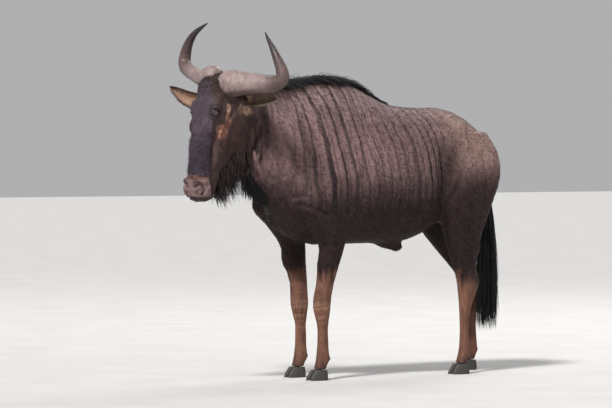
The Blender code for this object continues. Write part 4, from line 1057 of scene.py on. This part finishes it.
def mane(surface, unwrap, material):
    """Long black hair along the crest that stands up and falls back and to the sides."""
    count = 2700
    x = chance.uniform(-0.59, 0.2, count)
    across = chance.normal(0, 0.01, count)
    y = neck_sway(x) + across
    roots = np.array([surface.crest(a, b) for a, b in zip(x, y)]) - (0, 0, 0.004)
    tall = tallness(x)
    lengths = (0.022 + 0.116 * tall) * chance.uniform(0.6, 1.18, count)
    stray = (chance.uniform(size=count) < 0.05) & (x < -0.42)
    lengths[stray] *= 1.25
    side = np.sign(across + chance.normal(0, 0.008, count))
    back = 0.55 + 0.9 * smooth((x + 0.25) / 0.3) + chance.normal(0, 0.16, count)
    headings = np.column_stack([back, across * 14 + 0.1 * side, np.full(count, 1.0)])
    fall = 0.75 + 0.3 * chance.normal(size=count)
    pulls = np.column_stack([fall, side * (0.4 + 0.25 * tall), -1.15 - 0.7 * tall])
    paths = grown(roots, headings, lengths, pulls, 7, 0.13, 0.9)

    def spreads(count):
        across, rise = chance.normal(0, 0.6, count), chance.normal(0, 0.3, count)
        return unit(np.column_stack([np.ones(count), across, rise]))

    long_hair("mane_hair", "mane", surface.cleared(paths, 0.002), 0.35, 0.0055, 0.0026, black, (0.5, 1.5),
              spreads, unwrap, material)


def beard(surface, unwrap, material):
    """Brown hair on the jaw's sides and under it that lengthens to hanging points."""
    jaw_back, jaw_up = (-0.024, 0.022, 0.06, 0.098, 0.132), (-0.488, -0.444, -0.398, -0.35, -0.306)
    count = 2300
    t = chance.uniform(0, 4, count)
    high = chance.uniform(0, 1, count) ** 1.6
    back = np.interp(t, range(5), jaw_back) + chance.normal(0, 0.006, count)
    up = np.interp(t, range(5), jaw_up) + 0.02 + 0.07 * high
    on_cheek = chance.choice((-1, 1), count) * (0.03 + 0.03 * high)
    side = np.where(high > 0.12, on_cheek, chance.normal(0, 0.016, count))
    roots = np.array([on_head(a, b, c) for a, b, c in zip(side, back, up)])
    roots = surface.settled(roots, high > 0.12)
    tuft = np.abs(np.sin(t * 5.2 + 1.0)) ** 0.7
    lengths = (0.075 + 0.045 * np.sin(math.pi * t / 4) + 0.05 * tuft) * chance.uniform(0.65, 1.12, count)
    lengths = lengths * (1 - 0.62 * high)
    ahead, across = 0.06 * chance.normal(size=count) + 0.14, 0.1 * chance.normal(size=count)
    down = np.column_stack([ahead, across, np.full(count, -1.0)])
    clump = 0.35 * np.cos(t * 5.2 + 1.0)[:, None] * np.array((-1.0, -0.2, 0.0))
    ahead, across = 0.2 + 0.12 * chance.normal(size=count), 0.12 * chance.normal(size=count)
    pulls = clump + np.column_stack([ahead, across, np.zeros(count)])
    paths = surface.cleared(grown(roots, down, lengths, pulls, 7, 0.11, 1.2), 0.0015)

    def browner_above(count):
        brown = np.clip(0.25 + 0.75 * high + 0.25 * chance.normal(size=count), 0, 1)[:, None]
        return np.array(BLACK_HAIR) * (1 - brown) + np.array(BROWN_HAIR) * brown

    long_hair("beard_hair", "beard", paths, 0.3, 0.0046, 0.0022, browner_above, (0.7, 1.4), sideways,
              unwrap, material)


def throat_fringe(surface, unwrap, material):
    """The fringe of the throat, longest under the jaw, with a few curled tips."""
    throat_x, throat_z = (-0.576, -0.538, -0.5, -0.462), (0.95, 0.908, 0.862, 0.816)
    count = 850
    t = chance.uniform(0, 3, count)
    x = np.interp(t, range(4), throat_x) + 0.01 + chance.normal(0, 0.005, count)
    z = np.interp(t, range(4), throat_z) + 0.012
    y = neck_sway(x) + 0.004 + chance.normal(0, 0.016, count)
    roots = np.column_stack([x, y, z])
    lengths = (0.135 - 0.026 * t) * chance.uniform(0.5, 1.15, count)
    ahead, across = -0.1 + 0.1 * chance.normal(size=count), 0.12 * chance.normal(size=count)
    headings = np.column_stack([ahead, across, np.full(count, -1.0)])
    curl = (chance.uniform(size=count) < 0.15) * 0.9
    ahead, across = 0.36 + curl + 0.15 * chance.normal(size=count), 0.15 * chance.normal(size=count)
    pulls = np.column_stack([ahead, across, 0.3 * curl])
    paths = surface.cleared(grown(roots, headings, lengths, pulls, 7, 0.1, 1.3), 0.0015)
    long_hair("throat_hair", "throat_fringe", paths, 0.3, 0.0048, 0.0024, black, (0.6, 1.7), sideways,
              unwrap, material)


def tail_switch(surface, unwrap, material):
    """The long black hair of the tail, hung from the lower part of the dock."""
    heights = (0.47, 0.56, 0.68, 0.8, 0.885)
    bone_x, bone_y = (0.812, 0.816, 0.818, 0.817, 0.806), (0.0638, 0.0638, 0.0618, 0.0598, 0.0578)
    count = 2600
    z = 0.47 + 0.425 * chance.uniform(size=count) ** 0.8
    x = np.interp(z, heights, bone_x)
    y = np.interp(z, heights, bone_y)
    angle = chance.uniform(0, 2 * math.pi, count)
    out = np.column_stack([np.cos(angle), np.sin(angle), np.zeros(count)])
    roots = np.column_stack([x, y, z]) + out * (0.01 * chance.uniform(0.4, 1.0, count))[:, None]
    reach = np.minimum(z - 0.178, 0.44)
    lengths = reach * chance.uniform(0.62, 1.0, count)
    headings = out * 0.22 + np.array((0, 0, -1.0))
    bunch = np.sign(out[:, :1] + 0.2) * np.array((0.05, 0.0, 0.0))
    pulls = -out * 0.27 + bunch + 0.03 * chance.normal(size=(count, 3))
    paths = grown(roots, headings, lengths, pulls, 9, 0.035, 1.2)
    long_hair("tail_hair", "tail_switch", paths, 0.35, 0.0058, 0.0028, black, (0.5, 1.6),
              lambda count: np.cross(out, (0, 0, 1.0)), unwrap, material)


# Horns, ears, eyes and hooves


# The horns in the head's own frame: side, back, up, radius. The two have grown a little unlike.
HORNS = {
    "left": [
        (12, -8, -18, 38), (24, -6, -19, 50), (45, -3, -20, 57), (80, 2, -20, 57.5), (120, 12, -18, 52),
        (165, 24, -17, 45.5), (212, 36, -17, 40.5), (260, 50, -18, 36.5), (299, 63, -5, 33.5),
        (314, 70, 20, 30), (306, 70, 52, 26.2), (289, 66, 86, 21.8), (267, 64, 122, 17),
        (239, 67, 158, 12), (208, 74, 188, 7.5), (182, 85, 211, 2.5),
    ],
    "right": [
        (12, -8, -4, 38), (24, -6, -4, 48), (45, -3, -4, 53), (75, 2, -3, 49), (108, 9, -4, 38.5),
        (150, 18, -3, 32.5), (205, 32, 11, 31), (256, 48, 24, 31.2), (292, 60, 40, 30),
        (308, 67, 66, 28.2), (304, 68, 97, 25.8), (290, 64, 129, 22.2), (269, 62, 163, 17.8),
        (240, 64, 196, 12.8), (208, 70, 220, 8), (181, 80, 240, 2.5),
    ],
}
HORN_RINGS = 110
HORN_SIDES = 40


def tube(rows, sides, ripple):
    """A closed tube along rows of (x, y, z, radius); ripple(share, angle) scales each point."""
    points = rows[:, :3]
    tangents = unit(np.gradient(points, axis=0))
    side = np.cross(tangents[0], (0.3, 0.2, 0.9))
    found = []
    for k, (point, tangent) in enumerate(zip(points, tangents)):
        side = side - tangent * (side @ tangent)
        side /= np.linalg.norm(side)
        other = np.cross(tangent, side)
        angle = np.arange(sides) * 2 * math.pi / sides
        radius = rows[k, 3] * ripple(k / (len(rows) - 1), angle)
        around = np.cos(angle)[:, None] * side + np.sin(angle)[:, None] * other
        found.append(point + radius[:, None] * around)
    return found


def lofted(name, rings):
    """A closed surface through rings of equal count, capped with fans."""
    count, sides = len(rings), len(rings[0])
    points = [tuple(p) for ring in rings for p in ring]
    faces = []
    for k in range(count - 1):
        for i in range(sides):
            j = (i + 1) % sides
            faces.append((k * sides + i, k * sides + j, (k + 1) * sides + j, (k + 1) * sides + i))
    for ring, start in ((rings[0], 0), (rings[-1], (count - 1) * sides)):
        middle = len(points)
        points.append(tuple(np.mean(ring, axis=0)))
        for i in range(sides):
            j = (i + 1) % sides
            faces.append((start + j, start + i, middle) if start == 0 else (start + i, start + j, middle))
    mesh = bpy.data.meshes.new(name)
    mesh.from_pydata(points, [], faces)
    shell = bmesh.new()
    shell.from_mesh(mesh)
    bmesh.ops.recalc_face_normals(shell, faces=shell.faces)
    shell.to_mesh(mesh)
    shell.free()
    mesh.shade_smooth()
    return mesh


def horns(material):
    for side, word in ((1, "left"), (-1, "right")):
        path = curve_through(np.array(HORNS[word]) * MM, HORN_RINGS)
        rows = np.array([(*on_head(side * a, b, c), max(r, 0.002)) for a, b, c, r in path])

        def ripple(share, angle):
            boss = float(smooth((0.52 - share) / 0.25))
            rings = 0.011 * math.sin(share * 150 + 2 * math.sin(share * 23))
            rings *= float(smooth((0.75 - share) / 0.3))
            pits = 0.018 * boss * np.sin(5 * angle + 9 * share) * math.sin(share * 47)
            flat = 1 - 0.1 * boss * np.cos(angle * 2 + 0.6)
            return (1 + rings + pits) * flat

        mesh = lofted(f"{word}_horn_sheath", tube(rows, HORN_SIDES, ripple))
        share = np.repeat(np.arange(HORN_RINGS) / (HORN_RINGS - 1), HORN_SIDES)
        share = np.append(share, (0.0, 1.0))
        points = get_points(mesh)
        tones = blend(plain(HORN_BOSS, len(share)), HORN_ARC, smooth((share - 0.36) / 0.16))
        tones = blend(tones, HORN_TIP, smooth((share - 0.62) / 0.26))
        pale = smooth((noise(points, 0.01, 24) - 0.1) / 0.5) * smooth((0.45 - share) / 0.2)
        tones = blend(tones, HORN_WORN, pale * 0.55)
        # painted shade on the underside of the horn's base, where the normals face down
        normals = get_normals(mesh)
        under = smooth((-0.25 - normals[:, 2]) / 0.5) * smooth((0.5 - share) / 0.2)
        tones = blend(tones, HORN_UNDERSIDE_SHADE, under * 0.7)
        set_tones(mesh, tones)
        mesh.materials.append(material)
        horn = new_object(mesh.name, mesh)
        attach(horn, "root")
        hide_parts(f"{word}_horn")


EAR_ROOTS = {"left": (0.078, 0.058, -0.1), "right": (0.078, 0.058, -0.102)}
EAR_TIPS = {"left": (0.28, 0.066, -0.082), "right": (0.3, -0.028, -0.052)}
EAR_BENDS = {"left": 0.012, "right": -0.029}
EAR_HALF_WIDTH = 0.037
EAR_WALL = 0.0045
EAR_CUP = 0.03


def ears(unwrap, skin_material, hair_material):
    """Leaf-shaped cups with hair along the rim and inside; the right one is painted paler inside as if lit,
    the left one darker inside as painted shade.
    """
    for side, word in ((1, "left"), (-1, "right")):
        root, tip = np.array(EAR_ROOTS[word]), np.array(EAR_TIPS[word])
        rings, insides = [], []
        steps, lanes = 34, 17
        for k in range(steps):
            t = k / (steps - 1)
            middle = root + (tip - root) * t
            middle[2] += EAR_BENDS[word] * math.sin(math.pi * t)
            leaf = 0.52 + 0.48 * float(smooth(t / 0.42))
            leaf *= 1.02 - max(0.0, (t - 0.4) / 0.6) ** 3.0
            wide = EAR_HALF_WIDTH * leaf
            cup = EAR_CUP * (0.5 + 0.5 * math.sin(math.pi * t)) * (1 - 0.55 * t)
            wall = EAR_WALL * (1 - 0.5 * t)
            across = np.linspace(-1, 1, lanes)
            ribs = 0.001 * np.cos(across * 11) * (1 - across**2) * math.sin(math.pi * min(1, t * 1.3))
            front = np.column_stack([wide * across, cup * across**2 - wall / 2 + ribs])
            other = across[::-1]
            behind = np.column_stack([wide * other * 0.975, cup * other**2 - cup * 0.05 - wall * 1.5])
            outline = np.vstack([front, behind])
            ring = [on_head(side * middle[0], middle[1] - depth + 0.006, middle[2] + rise)
                    for rise, depth in outline]
            rings.append(ring)
            insides.append(ring[:lanes])
        mesh = lofted(f"{word}_ear_leaf", rings)
        points = get_points(mesh)
        flat = np.array([on_head(side * p[0], p[1], p[2]) for p in np.linspace(root, tip, 2)])
        inner = np.zeros(len(points))
        for k in range(steps):
            inner[k * 2 * lanes:k * 2 * lanes + lanes] = 1 - 0.75 * np.abs(np.linspace(-1, 1, lanes)) ** 3
        along = np.clip((points - flat[0]) @ (flat[1] - flat[0]) / np.sum((flat[1] - flat[0]) ** 2), 0, 1)
        tones = plain(BROWN_HAIR, len(points)) * 0.8
        # painted light: the right ear's inside is painted paler as if lit, the left one's darker as painted
        # shade
        inside_with_painted_light = (0.3, 0.175, 0.118) if word == "right" else (0.15, 0.102, 0.078)
        tones = blend(tones, inside_with_painted_light, inner * (1 - 0.4 * smooth((along - 0.6) / 0.4)))
        tones = blend(tones, TAN, inner * smooth((0.34 - along) / 0.12) * (word == "left") * 0.45)
        tones *= (1 + 0.2 * noise(points, 0.012, 21))[:, None]
        set_tones(mesh, tones)
        mesh.materials.append(skin_material)
        ear = new_object(mesh.name, mesh)
        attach(ear, "root")
        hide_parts(f"{word}_ear")
        ear_hair(word, side, np.array(insides), np.array(rings), unwrap, hair_material)


def ear_hair(word, side, insides, rings, unwrap, material):
    """Short hairs along the rim, inside the cup and on its back, towards the tip."""
    count = 1500
    steps, lanes = insides.shape[:2]
    root, tip = (on_head(side * a, b, c) for a, b, c in (EAR_ROOTS[word], EAR_TIPS[word]))
    out = unit(tip - root)
    row = (chance.uniform(size=count) ** 0.9 * (steps - 3)).astype(int) + 1
    rim = chance.uniform(size=count) < 0.45
    at_rim = chance.choice([0, 1, lanes - 2, lanes - 1], count)
    lane = np.where(rim, at_rim, chance.integers(1, lanes - 1, count))
    back_face = (~rim) & (chance.uniform(size=count) < 0.45)
    roots = np.where(back_face[:, None], rings[row, 2 * lanes - 1 - lane], insides[row, lane])
    middle = insides[row, lanes // 2]
    front = head_direction(side * 0.25, -1.0, -0.1)
    inward = unit(middle - insides[row, lane] + 1e-9)
    facing = np.where(back_face[:, None], -front, front)
    lie = out + 0.35 * inward * rim[:, None] + 0.2 * facing + 0.15 * chance.normal(size=(count, 3))
    lengths = np.where(rim, 0.016, np.where(back_face, 0.01, 0.012)) * chance.uniform(0.6, 1.4, count)
    roots = roots - facing * 0.0008
    paths = grown(roots, lie, lengths, -0.15 * facing, 3, 0.1, 0.6)
    dark = (rim | back_face)[:, None]
    # painted light: the hair inside the right ear is painted paler as if lit, inside the left one darker as
    # painted shade
    inner = np.array((0.3, 0.2, 0.14) if word == "right" else (0.075, 0.056, 0.042))
    pale_rim = rim[:, None] & (word == "left")
    tones = np.where(dark, np.array(BROWN_HAIR), inner)
    tones = np.where(pale_rim, np.array((0.2, 0.15, 0.11)), tones)
    tones = tones * chance.uniform(0.6, 1.5, (count, 1))
    widths = chance.uniform(0.001, 0.002, count)
    spreads = np.cross(np.tile(out, (count, 1)), facing)
    hair_object(f"{word}_ear_hair", paths, widths, widths * 0.35, spreads, tones, unwrap, material)


def eyes(material, lash_material, unwrap):
    for side, word in ((1, "left"), (-1, "right")):
        centre = eye_centre(side)
        look = unit(head_direction(side * 0.93, -0.34, 0.02))
        level = unit(head_direction(side * 0.34, 0.93, -0.05))
        level = unit(level - look * (level @ look))
        rise = np.cross(look, level) * side
        rings = []
        for k in range(1, 40):
            polar = math.pi * k / 40
            radius = EYE_RADIUS * (1 + 0.055 * math.exp(-((polar / 0.62) ** 4)))
            ring = []
            for angle in np.arange(56) * 2 * math.pi / 56:
                out = math.cos(angle) * level + math.sin(angle) * rise
                ring.append(centre + radius * 0.985 * (math.cos(polar) * look + math.sin(polar) * out))
            rings.append(ring)
        mesh = lofted(f"{word}_eyeball", rings)
        away = (get_points(mesh) - centre) / EYE_RADIUS
        flat_x, flat_y = away @ level, away @ rise
        off = np.sqrt(flat_x**2 + flat_y**2)
        front = away @ look > 0
        pupil = smooth((1.15 - np.sqrt((flat_x / 0.33) ** 2 + (flat_y / 0.17) ** 2)) / 0.25) * front
        tones = blend(plain(EYE_WHITE, len(away)), IRIS, smooth((0.72 - off) / 0.06) * front)
        tones = blend(tones, IRIS_RIM, np.exp(-(((off - 0.68) / 0.07) ** 2)) * front)
        tones = blend(tones, PUPIL, pupil)
        set_tones(mesh, tones)
        mesh.materials.append(material)
        eye = new_object(mesh.name, mesh)
        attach(eye, "root")
        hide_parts(f"{word}_eye")
        count = 90
        spread = chance.uniform(-1, 1, count)
        ahead = -0.1 + 0.8 * spread
        tilt = 0.5 * np.sqrt(np.maximum(0, 1 - spread**2)) * 1.12 - 0.08 - 0.22 * ahead
        depth = np.sqrt(np.maximum(0.02, 1 - ahead**2 - tilt**2))
        outward = np.array([head_direction(side * d, a, u) for d, a, u in zip(depth, ahead, tilt)])
        roots = centre + outward * (EYE_RADIUS + 0.0022)
        heading = outward + 0.5 * head_direction(side * 0.4, -0.2, -0.2)
        paths = grown(roots, heading, chance.uniform(0.007, 0.012, count),
                      np.tile(head_direction(0, -0.1, 0.6), (count, 1)), 4, 0.03, 0.5)
        tones = black(count)
        hair_object(f"{word}_eyelashes", paths, np.full(count, 0.0008), np.full(count, 0.0006),
                    np.cross(outward, head_direction(0, 0, 1.0)), tones, unwrap, lash_material)


def hooves(material):
    """Each claw, evened out and ringed by its growth."""
    for name in [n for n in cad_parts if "_claw_" in n]:
        source = new_object("source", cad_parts[name].data.copy())
        mesh = voxels(source, 0.0022, f"{name}_horn")
        bpy.data.objects.remove(source)
        relaxed(mesh, 10, 0.5, 0.52)
        points, normals = get_points(mesh), get_normals(mesh)
        low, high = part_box(name)
        height = points[:, 2] + 0.25 * (points[:, 0] - low.x)
        wall = 1 - np.abs(normals[:, 2])
        growth = 0.0006 * np.sin(height * 2 * math.pi / 0.0065 + noise(points, 0.02, 31))
        points += normals * ((growth - 0.0005) * wall)[:, None]
        points[:, 2] = np.maximum(points[:, 2], low.z)
        set_points(mesh, points)
        rise = (points[:, 2] - low.z) / (high.z - low.z)
        tones = blend(plain(CLAW, len(points)), CLAW_WORN, smooth((0.3 - rise) / 0.3) * 0.7)
        set_tones(mesh, tones * (1 + 0.25 * noise(points, 0.008, 32))[:, None])
        mesh.shade_smooth()
        mesh.materials.append(material)
        claw = new_object(mesh.name, mesh)
        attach(claw, "root")
        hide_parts(name)


# Materials


class Look:
    """A Principled material and the nodes that feed it."""

    def __init__(self, name, **constants):
        self.material = bpy.data.materials.new(name)
        self.material.use_nodes = True
        self.nodes = self.material.node_tree.nodes
        self.links = self.material.node_tree.links
        self.shader = self.nodes["Principled BSDF"]
        for socket, value in constants.items():
            self.shader.inputs[socket.replace("_", " ")].default_value = value

    def node(self, kind, inputs=None, **settings):
        made = self.nodes.new(kind)
        for key, value in settings.items():
            setattr(made, key, value)
        for key, value in (inputs or {}).items():
            if isinstance(value, bpy.types.NodeSocket):
                self.links.new(value, made.inputs[key])
            else:
                made.inputs[key].default_value = value
        return made

    def wire(self, value, socket):
        self.links.new(value, self.shader.inputs[socket])

    def tone(self):
        return self.node("ShaderNodeVertexColor", layer_name="tone").outputs["Color"]

    def place(self, scale=(1, 1, 1)):
        source = self.node("ShaderNodeTexCoord").outputs["Object"]
        mapping = self.node("ShaderNodeMapping", {"Vector": source})
        mapping.inputs["Scale"].default_value = scale
        return mapping.outputs["Vector"]

    def grain(self, scale, stretch=(1, 1, 1), detail=4.0, rough=0.6):
        return self.node("ShaderNodeTexNoise", {
            "Vector": self.place(stretch), "Scale": scale, "Detail": detail, "Roughness": rough,
        }).outputs["Fac"]

    def ranged(self, value, low, high, new_low, new_high):
        return self.node("ShaderNodeMapRange", {
            "Value": value, "From Min": low, "From Max": high, "To Min": new_low, "To Max": new_high,
        }).outputs["Result"]

    def scaled(self, colour, amount):
        mix = self.node("ShaderNodeVectorMath", {0: colour}, operation="SCALE")
        self.links.new(amount, mix.inputs["Scale"])
        return mix.outputs["Vector"]

    def math(self, operation, a, b):
        return self.node("ShaderNodeMath", {0: a, 1: b}, operation=operation).outputs["Value"]

    def bump(self, height, strength, distance, below=None):
        inputs = {"Height": height, "Strength": strength, "Distance": distance}
        if below is not None:
            inputs["Normal"] = below
        return self.node("ShaderNodeBump", inputs).outputs["Normal"]


def hide_look():
    """Skin under the short coat: its colour broken by fine hair, with creases and pores."""
    look = Look("wildebeest_hide", Roughness=0.62, Specular_IOR_Level=0.14)
    strands = look.grain(330, (0.22, 1.0, 0.55), 5.0, 0.7)
    downward = look.grain(330, (1.0, 1.0, 0.2), 5.0, 0.7)
    both = look.math("ADD", strands, downward)
    fleck = look.ranged(both, 0.7, 1.3, 0.7, 1.32)
    look.wire(look.scaled(look.tone(), fleck), "Base Color")
    creases = look.node("ShaderNodeTexVoronoi", {"Vector": look.place(), "Scale": 260.0},
                        feature="DISTANCE_TO_EDGE").outputs["Distance"]
    soft = look.bump(look.ranged(creases, 0.0, 0.1, 0.0, 1.0), 0.25, 0.0005)
    look.wire(look.bump(both, 0.55, 0.0016, soft), "Normal")
    look.wire(look.ranged(downward, 0.3, 0.7, 0.5, 0.72), "Roughness")
    return look.material


def hair_look(name, rough, gloss):
    """Hair in its own tone, with fine streaks along it."""
    look = Look(name, Roughness=rough, Specular_IOR_Level=gloss)
    streak = look.grain(420, (1.0, 1.0, 0.16), 3.0, 0.6)
    look.wire(look.scaled(look.tone(), look.ranged(streak, 0.3, 0.7, 0.72, 1.3)), "Base Color")
    look.wire(look.bump(streak, 0.4, 0.0006), "Normal")
    return look.material


def horn_look():
    look = Look("horn", Roughness=0.48, Specular_IOR_Level=0.38, Coat_Weight=0.03, Coat_Roughness=0.3)
    wide = look.grain(26, (1, 1, 1), 6.0, 0.6)
    fine = look.grain(240, (1.0, 1.0, 1.0), 5.0, 0.7)
    mottle = look.ranged(look.math("ADD", wide, fine), 0.7, 1.3, 0.66, 1.34)
    look.wire(look.scaled(look.tone(), mottle), "Base Color")
    cracks = look.node("ShaderNodeTexVoronoi", {"Vector": look.place((1.0, 1.0, 2.2)), "Scale": 60.0},
                       feature="DISTANCE_TO_EDGE").outputs["Distance"]
    worn = look.bump(look.ranged(cracks, 0.0, 0.05, 0.0, 1.0), 0.22, 0.0008)
    look.wire(look.bump(fine, 0.35, 0.0007, worn), "Normal")
    look.wire(look.ranged(wide, 0.35, 0.65, 0.4, 0.6), "Roughness")
    return look.material


def eye_look():
    look = Look("eye", Roughness=0.12, Specular_IOR_Level=0.6, Coat_Weight=1.0, Coat_Roughness=0.02)
    threads = look.grain(700, (1, 1, 1), 4.0, 0.6)
    look.wire(look.scaled(look.tone(), look.ranged(threads, 0.3, 0.7, 0.7, 1.3)), "Base Color")
    return look.material


def hoof_look():
    look = Look("hoof", Roughness=0.48, Specular_IOR_Level=0.4)
    bands = look.grain(90, (0.6, 0.6, 4.0), 4.0, 0.6)
    streaks = look.grain(260, (2.0, 2.0, 0.3), 3.0, 0.6)
    mottle = look.ranged(look.math("ADD", bands, streaks), 0.7, 1.3, 0.6, 1.5)
    look.wire(look.scaled(look.tone(), mottle), "Base Color")
    look.wire(look.bump(streaks, 0.4, 0.0006), "Normal")
    look.wire(look.ranged(bands, 0.3, 0.7, 0.38, 0.62), "Roughness")
    return look.material


# Studio


def studio():
    """A pale floor, an even sky, a soft sun from the photograph's side, and two large lamps."""
    look = Look("studio_floor", Roughness=0.85)
    shade = look.grain(3.0, (1, 1, 1), 2.0, 0.5)
    pale = look.node("ShaderNodeMix", {0: look.ranged(shade, 0.3, 0.7, 0.0, 1.0)}, data_type="RGBA")
    pale.inputs[6].default_value = (0.5, 0.49, 0.475, 1)
    pale.inputs[7].default_value = (0.54, 0.53, 0.515, 1)
    look.wire(pale.outputs[2], "Base Color")
    bpy.ops.mesh.primitive_grid_add(x_subdivisions=24, y_subdivisions=24, size=90)
    floor = bpy.context.object
    floor.name = "studio_floor"
    floor.data.materials.append(look.material)

    world = bpy.data.worlds.new("studio")
    bpy.context.scene.world = world
    world.use_nodes = True
    sky = world.node_tree.nodes["Background"]
    sky.inputs["Color"].default_value = (0.98, 0.98, 1.0, 1)
    sky.inputs["Strength"].default_value = 0.44

    lamp("key", "SUN", -3.4 * VIEW_RIGHT - 7.0 * VIEW_AHEAD + Vector((0, 0, 10.0)), 4.1, angle=0.16)
    lamp("fill", "AREA", 7.5 * VIEW_RIGHT - 5.0 * VIEW_AHEAD + Vector((0, 0, 3.0)), 110, size=5.0)
    lamp("rim", "AREA", 3.0 * VIEW_RIGHT + 6.0 * VIEW_AHEAD + Vector((0, 0, 6.5)), 260, size=3.0)


def lamp(name, kind, place, energy, **settings):
    """A light that points at the animal's middle."""
    data = bpy.data.lights.new(name, kind)
    data.energy = energy
    for key, value in settings.items():
        setattr(data, key, value)
    light = bpy.data.objects.new(name, data)
    bpy.context.scene.collection.objects.link(light)
    light.location = place
    light.rotation_euler = (Vector((0, 0, 0.9)) - place).to_track_quat("-Z", "Y").to_euler()


def camera():
    """The photograph's view of the animal."""
    bpy.context.scene.view_settings.view_transform = "Standard"
    data = bpy.data.cameras.new("camera")
    data.sensor_width = 36.0
    data.lens = FOCAL_PIXELS / PHOTO_WIDTH * data.sensor_width
    data.clip_end = 200
    view = bpy.data.objects.new("camera", data)
    bpy.context.scene.collection.objects.link(view)
    view.location = VIEW_POINT - CAMERA_DISTANCE * VIEW_AHEAD + Vector((0, 0, CAMERA_HEIGHT))
    aim = VIEW_AHEAD - VIEW_RIGHT * (POINT_RIGHT_OF_CENTRE / FOCAL_PIXELS)
    aim += Vector((0, 0, -HORIZON_ABOVE_CENTRE / FOCAL_PIXELS))
    view.rotation_euler = aim.to_track_quat("-Z", "Y").to_euler()
    bpy.context.scene.camera = view


def animal():
    hide, coat_hair = hide_look(), hair_look("coat_hair", 0.52, 0.14)
    long_look = hair_look("long_hair", 0.4, 0.3)
    mesh = skin_mesh()
    set_tones(mesh, hide_tone(get_points(mesh)))
    mesh.materials.clear()
    mesh.materials.append(hide)
    skin = new_object("skin", mesh)
    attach(skin, "root")
    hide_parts(*FLESH)
    surface, unwrap = Surface(mesh), Unwrap(skin)
    short_coat(surface, unwrap, coat_hair)
    for grow in (mane, beard, throat_fringe, tail_switch):
        grow(surface, unwrap, long_look)
    horns(horn_look())
    ears(unwrap, hide, coat_hair)
    eyes(eye_look(), long_look, unwrap)
    hooves(hoof_look())


camera()
studio()
animal()
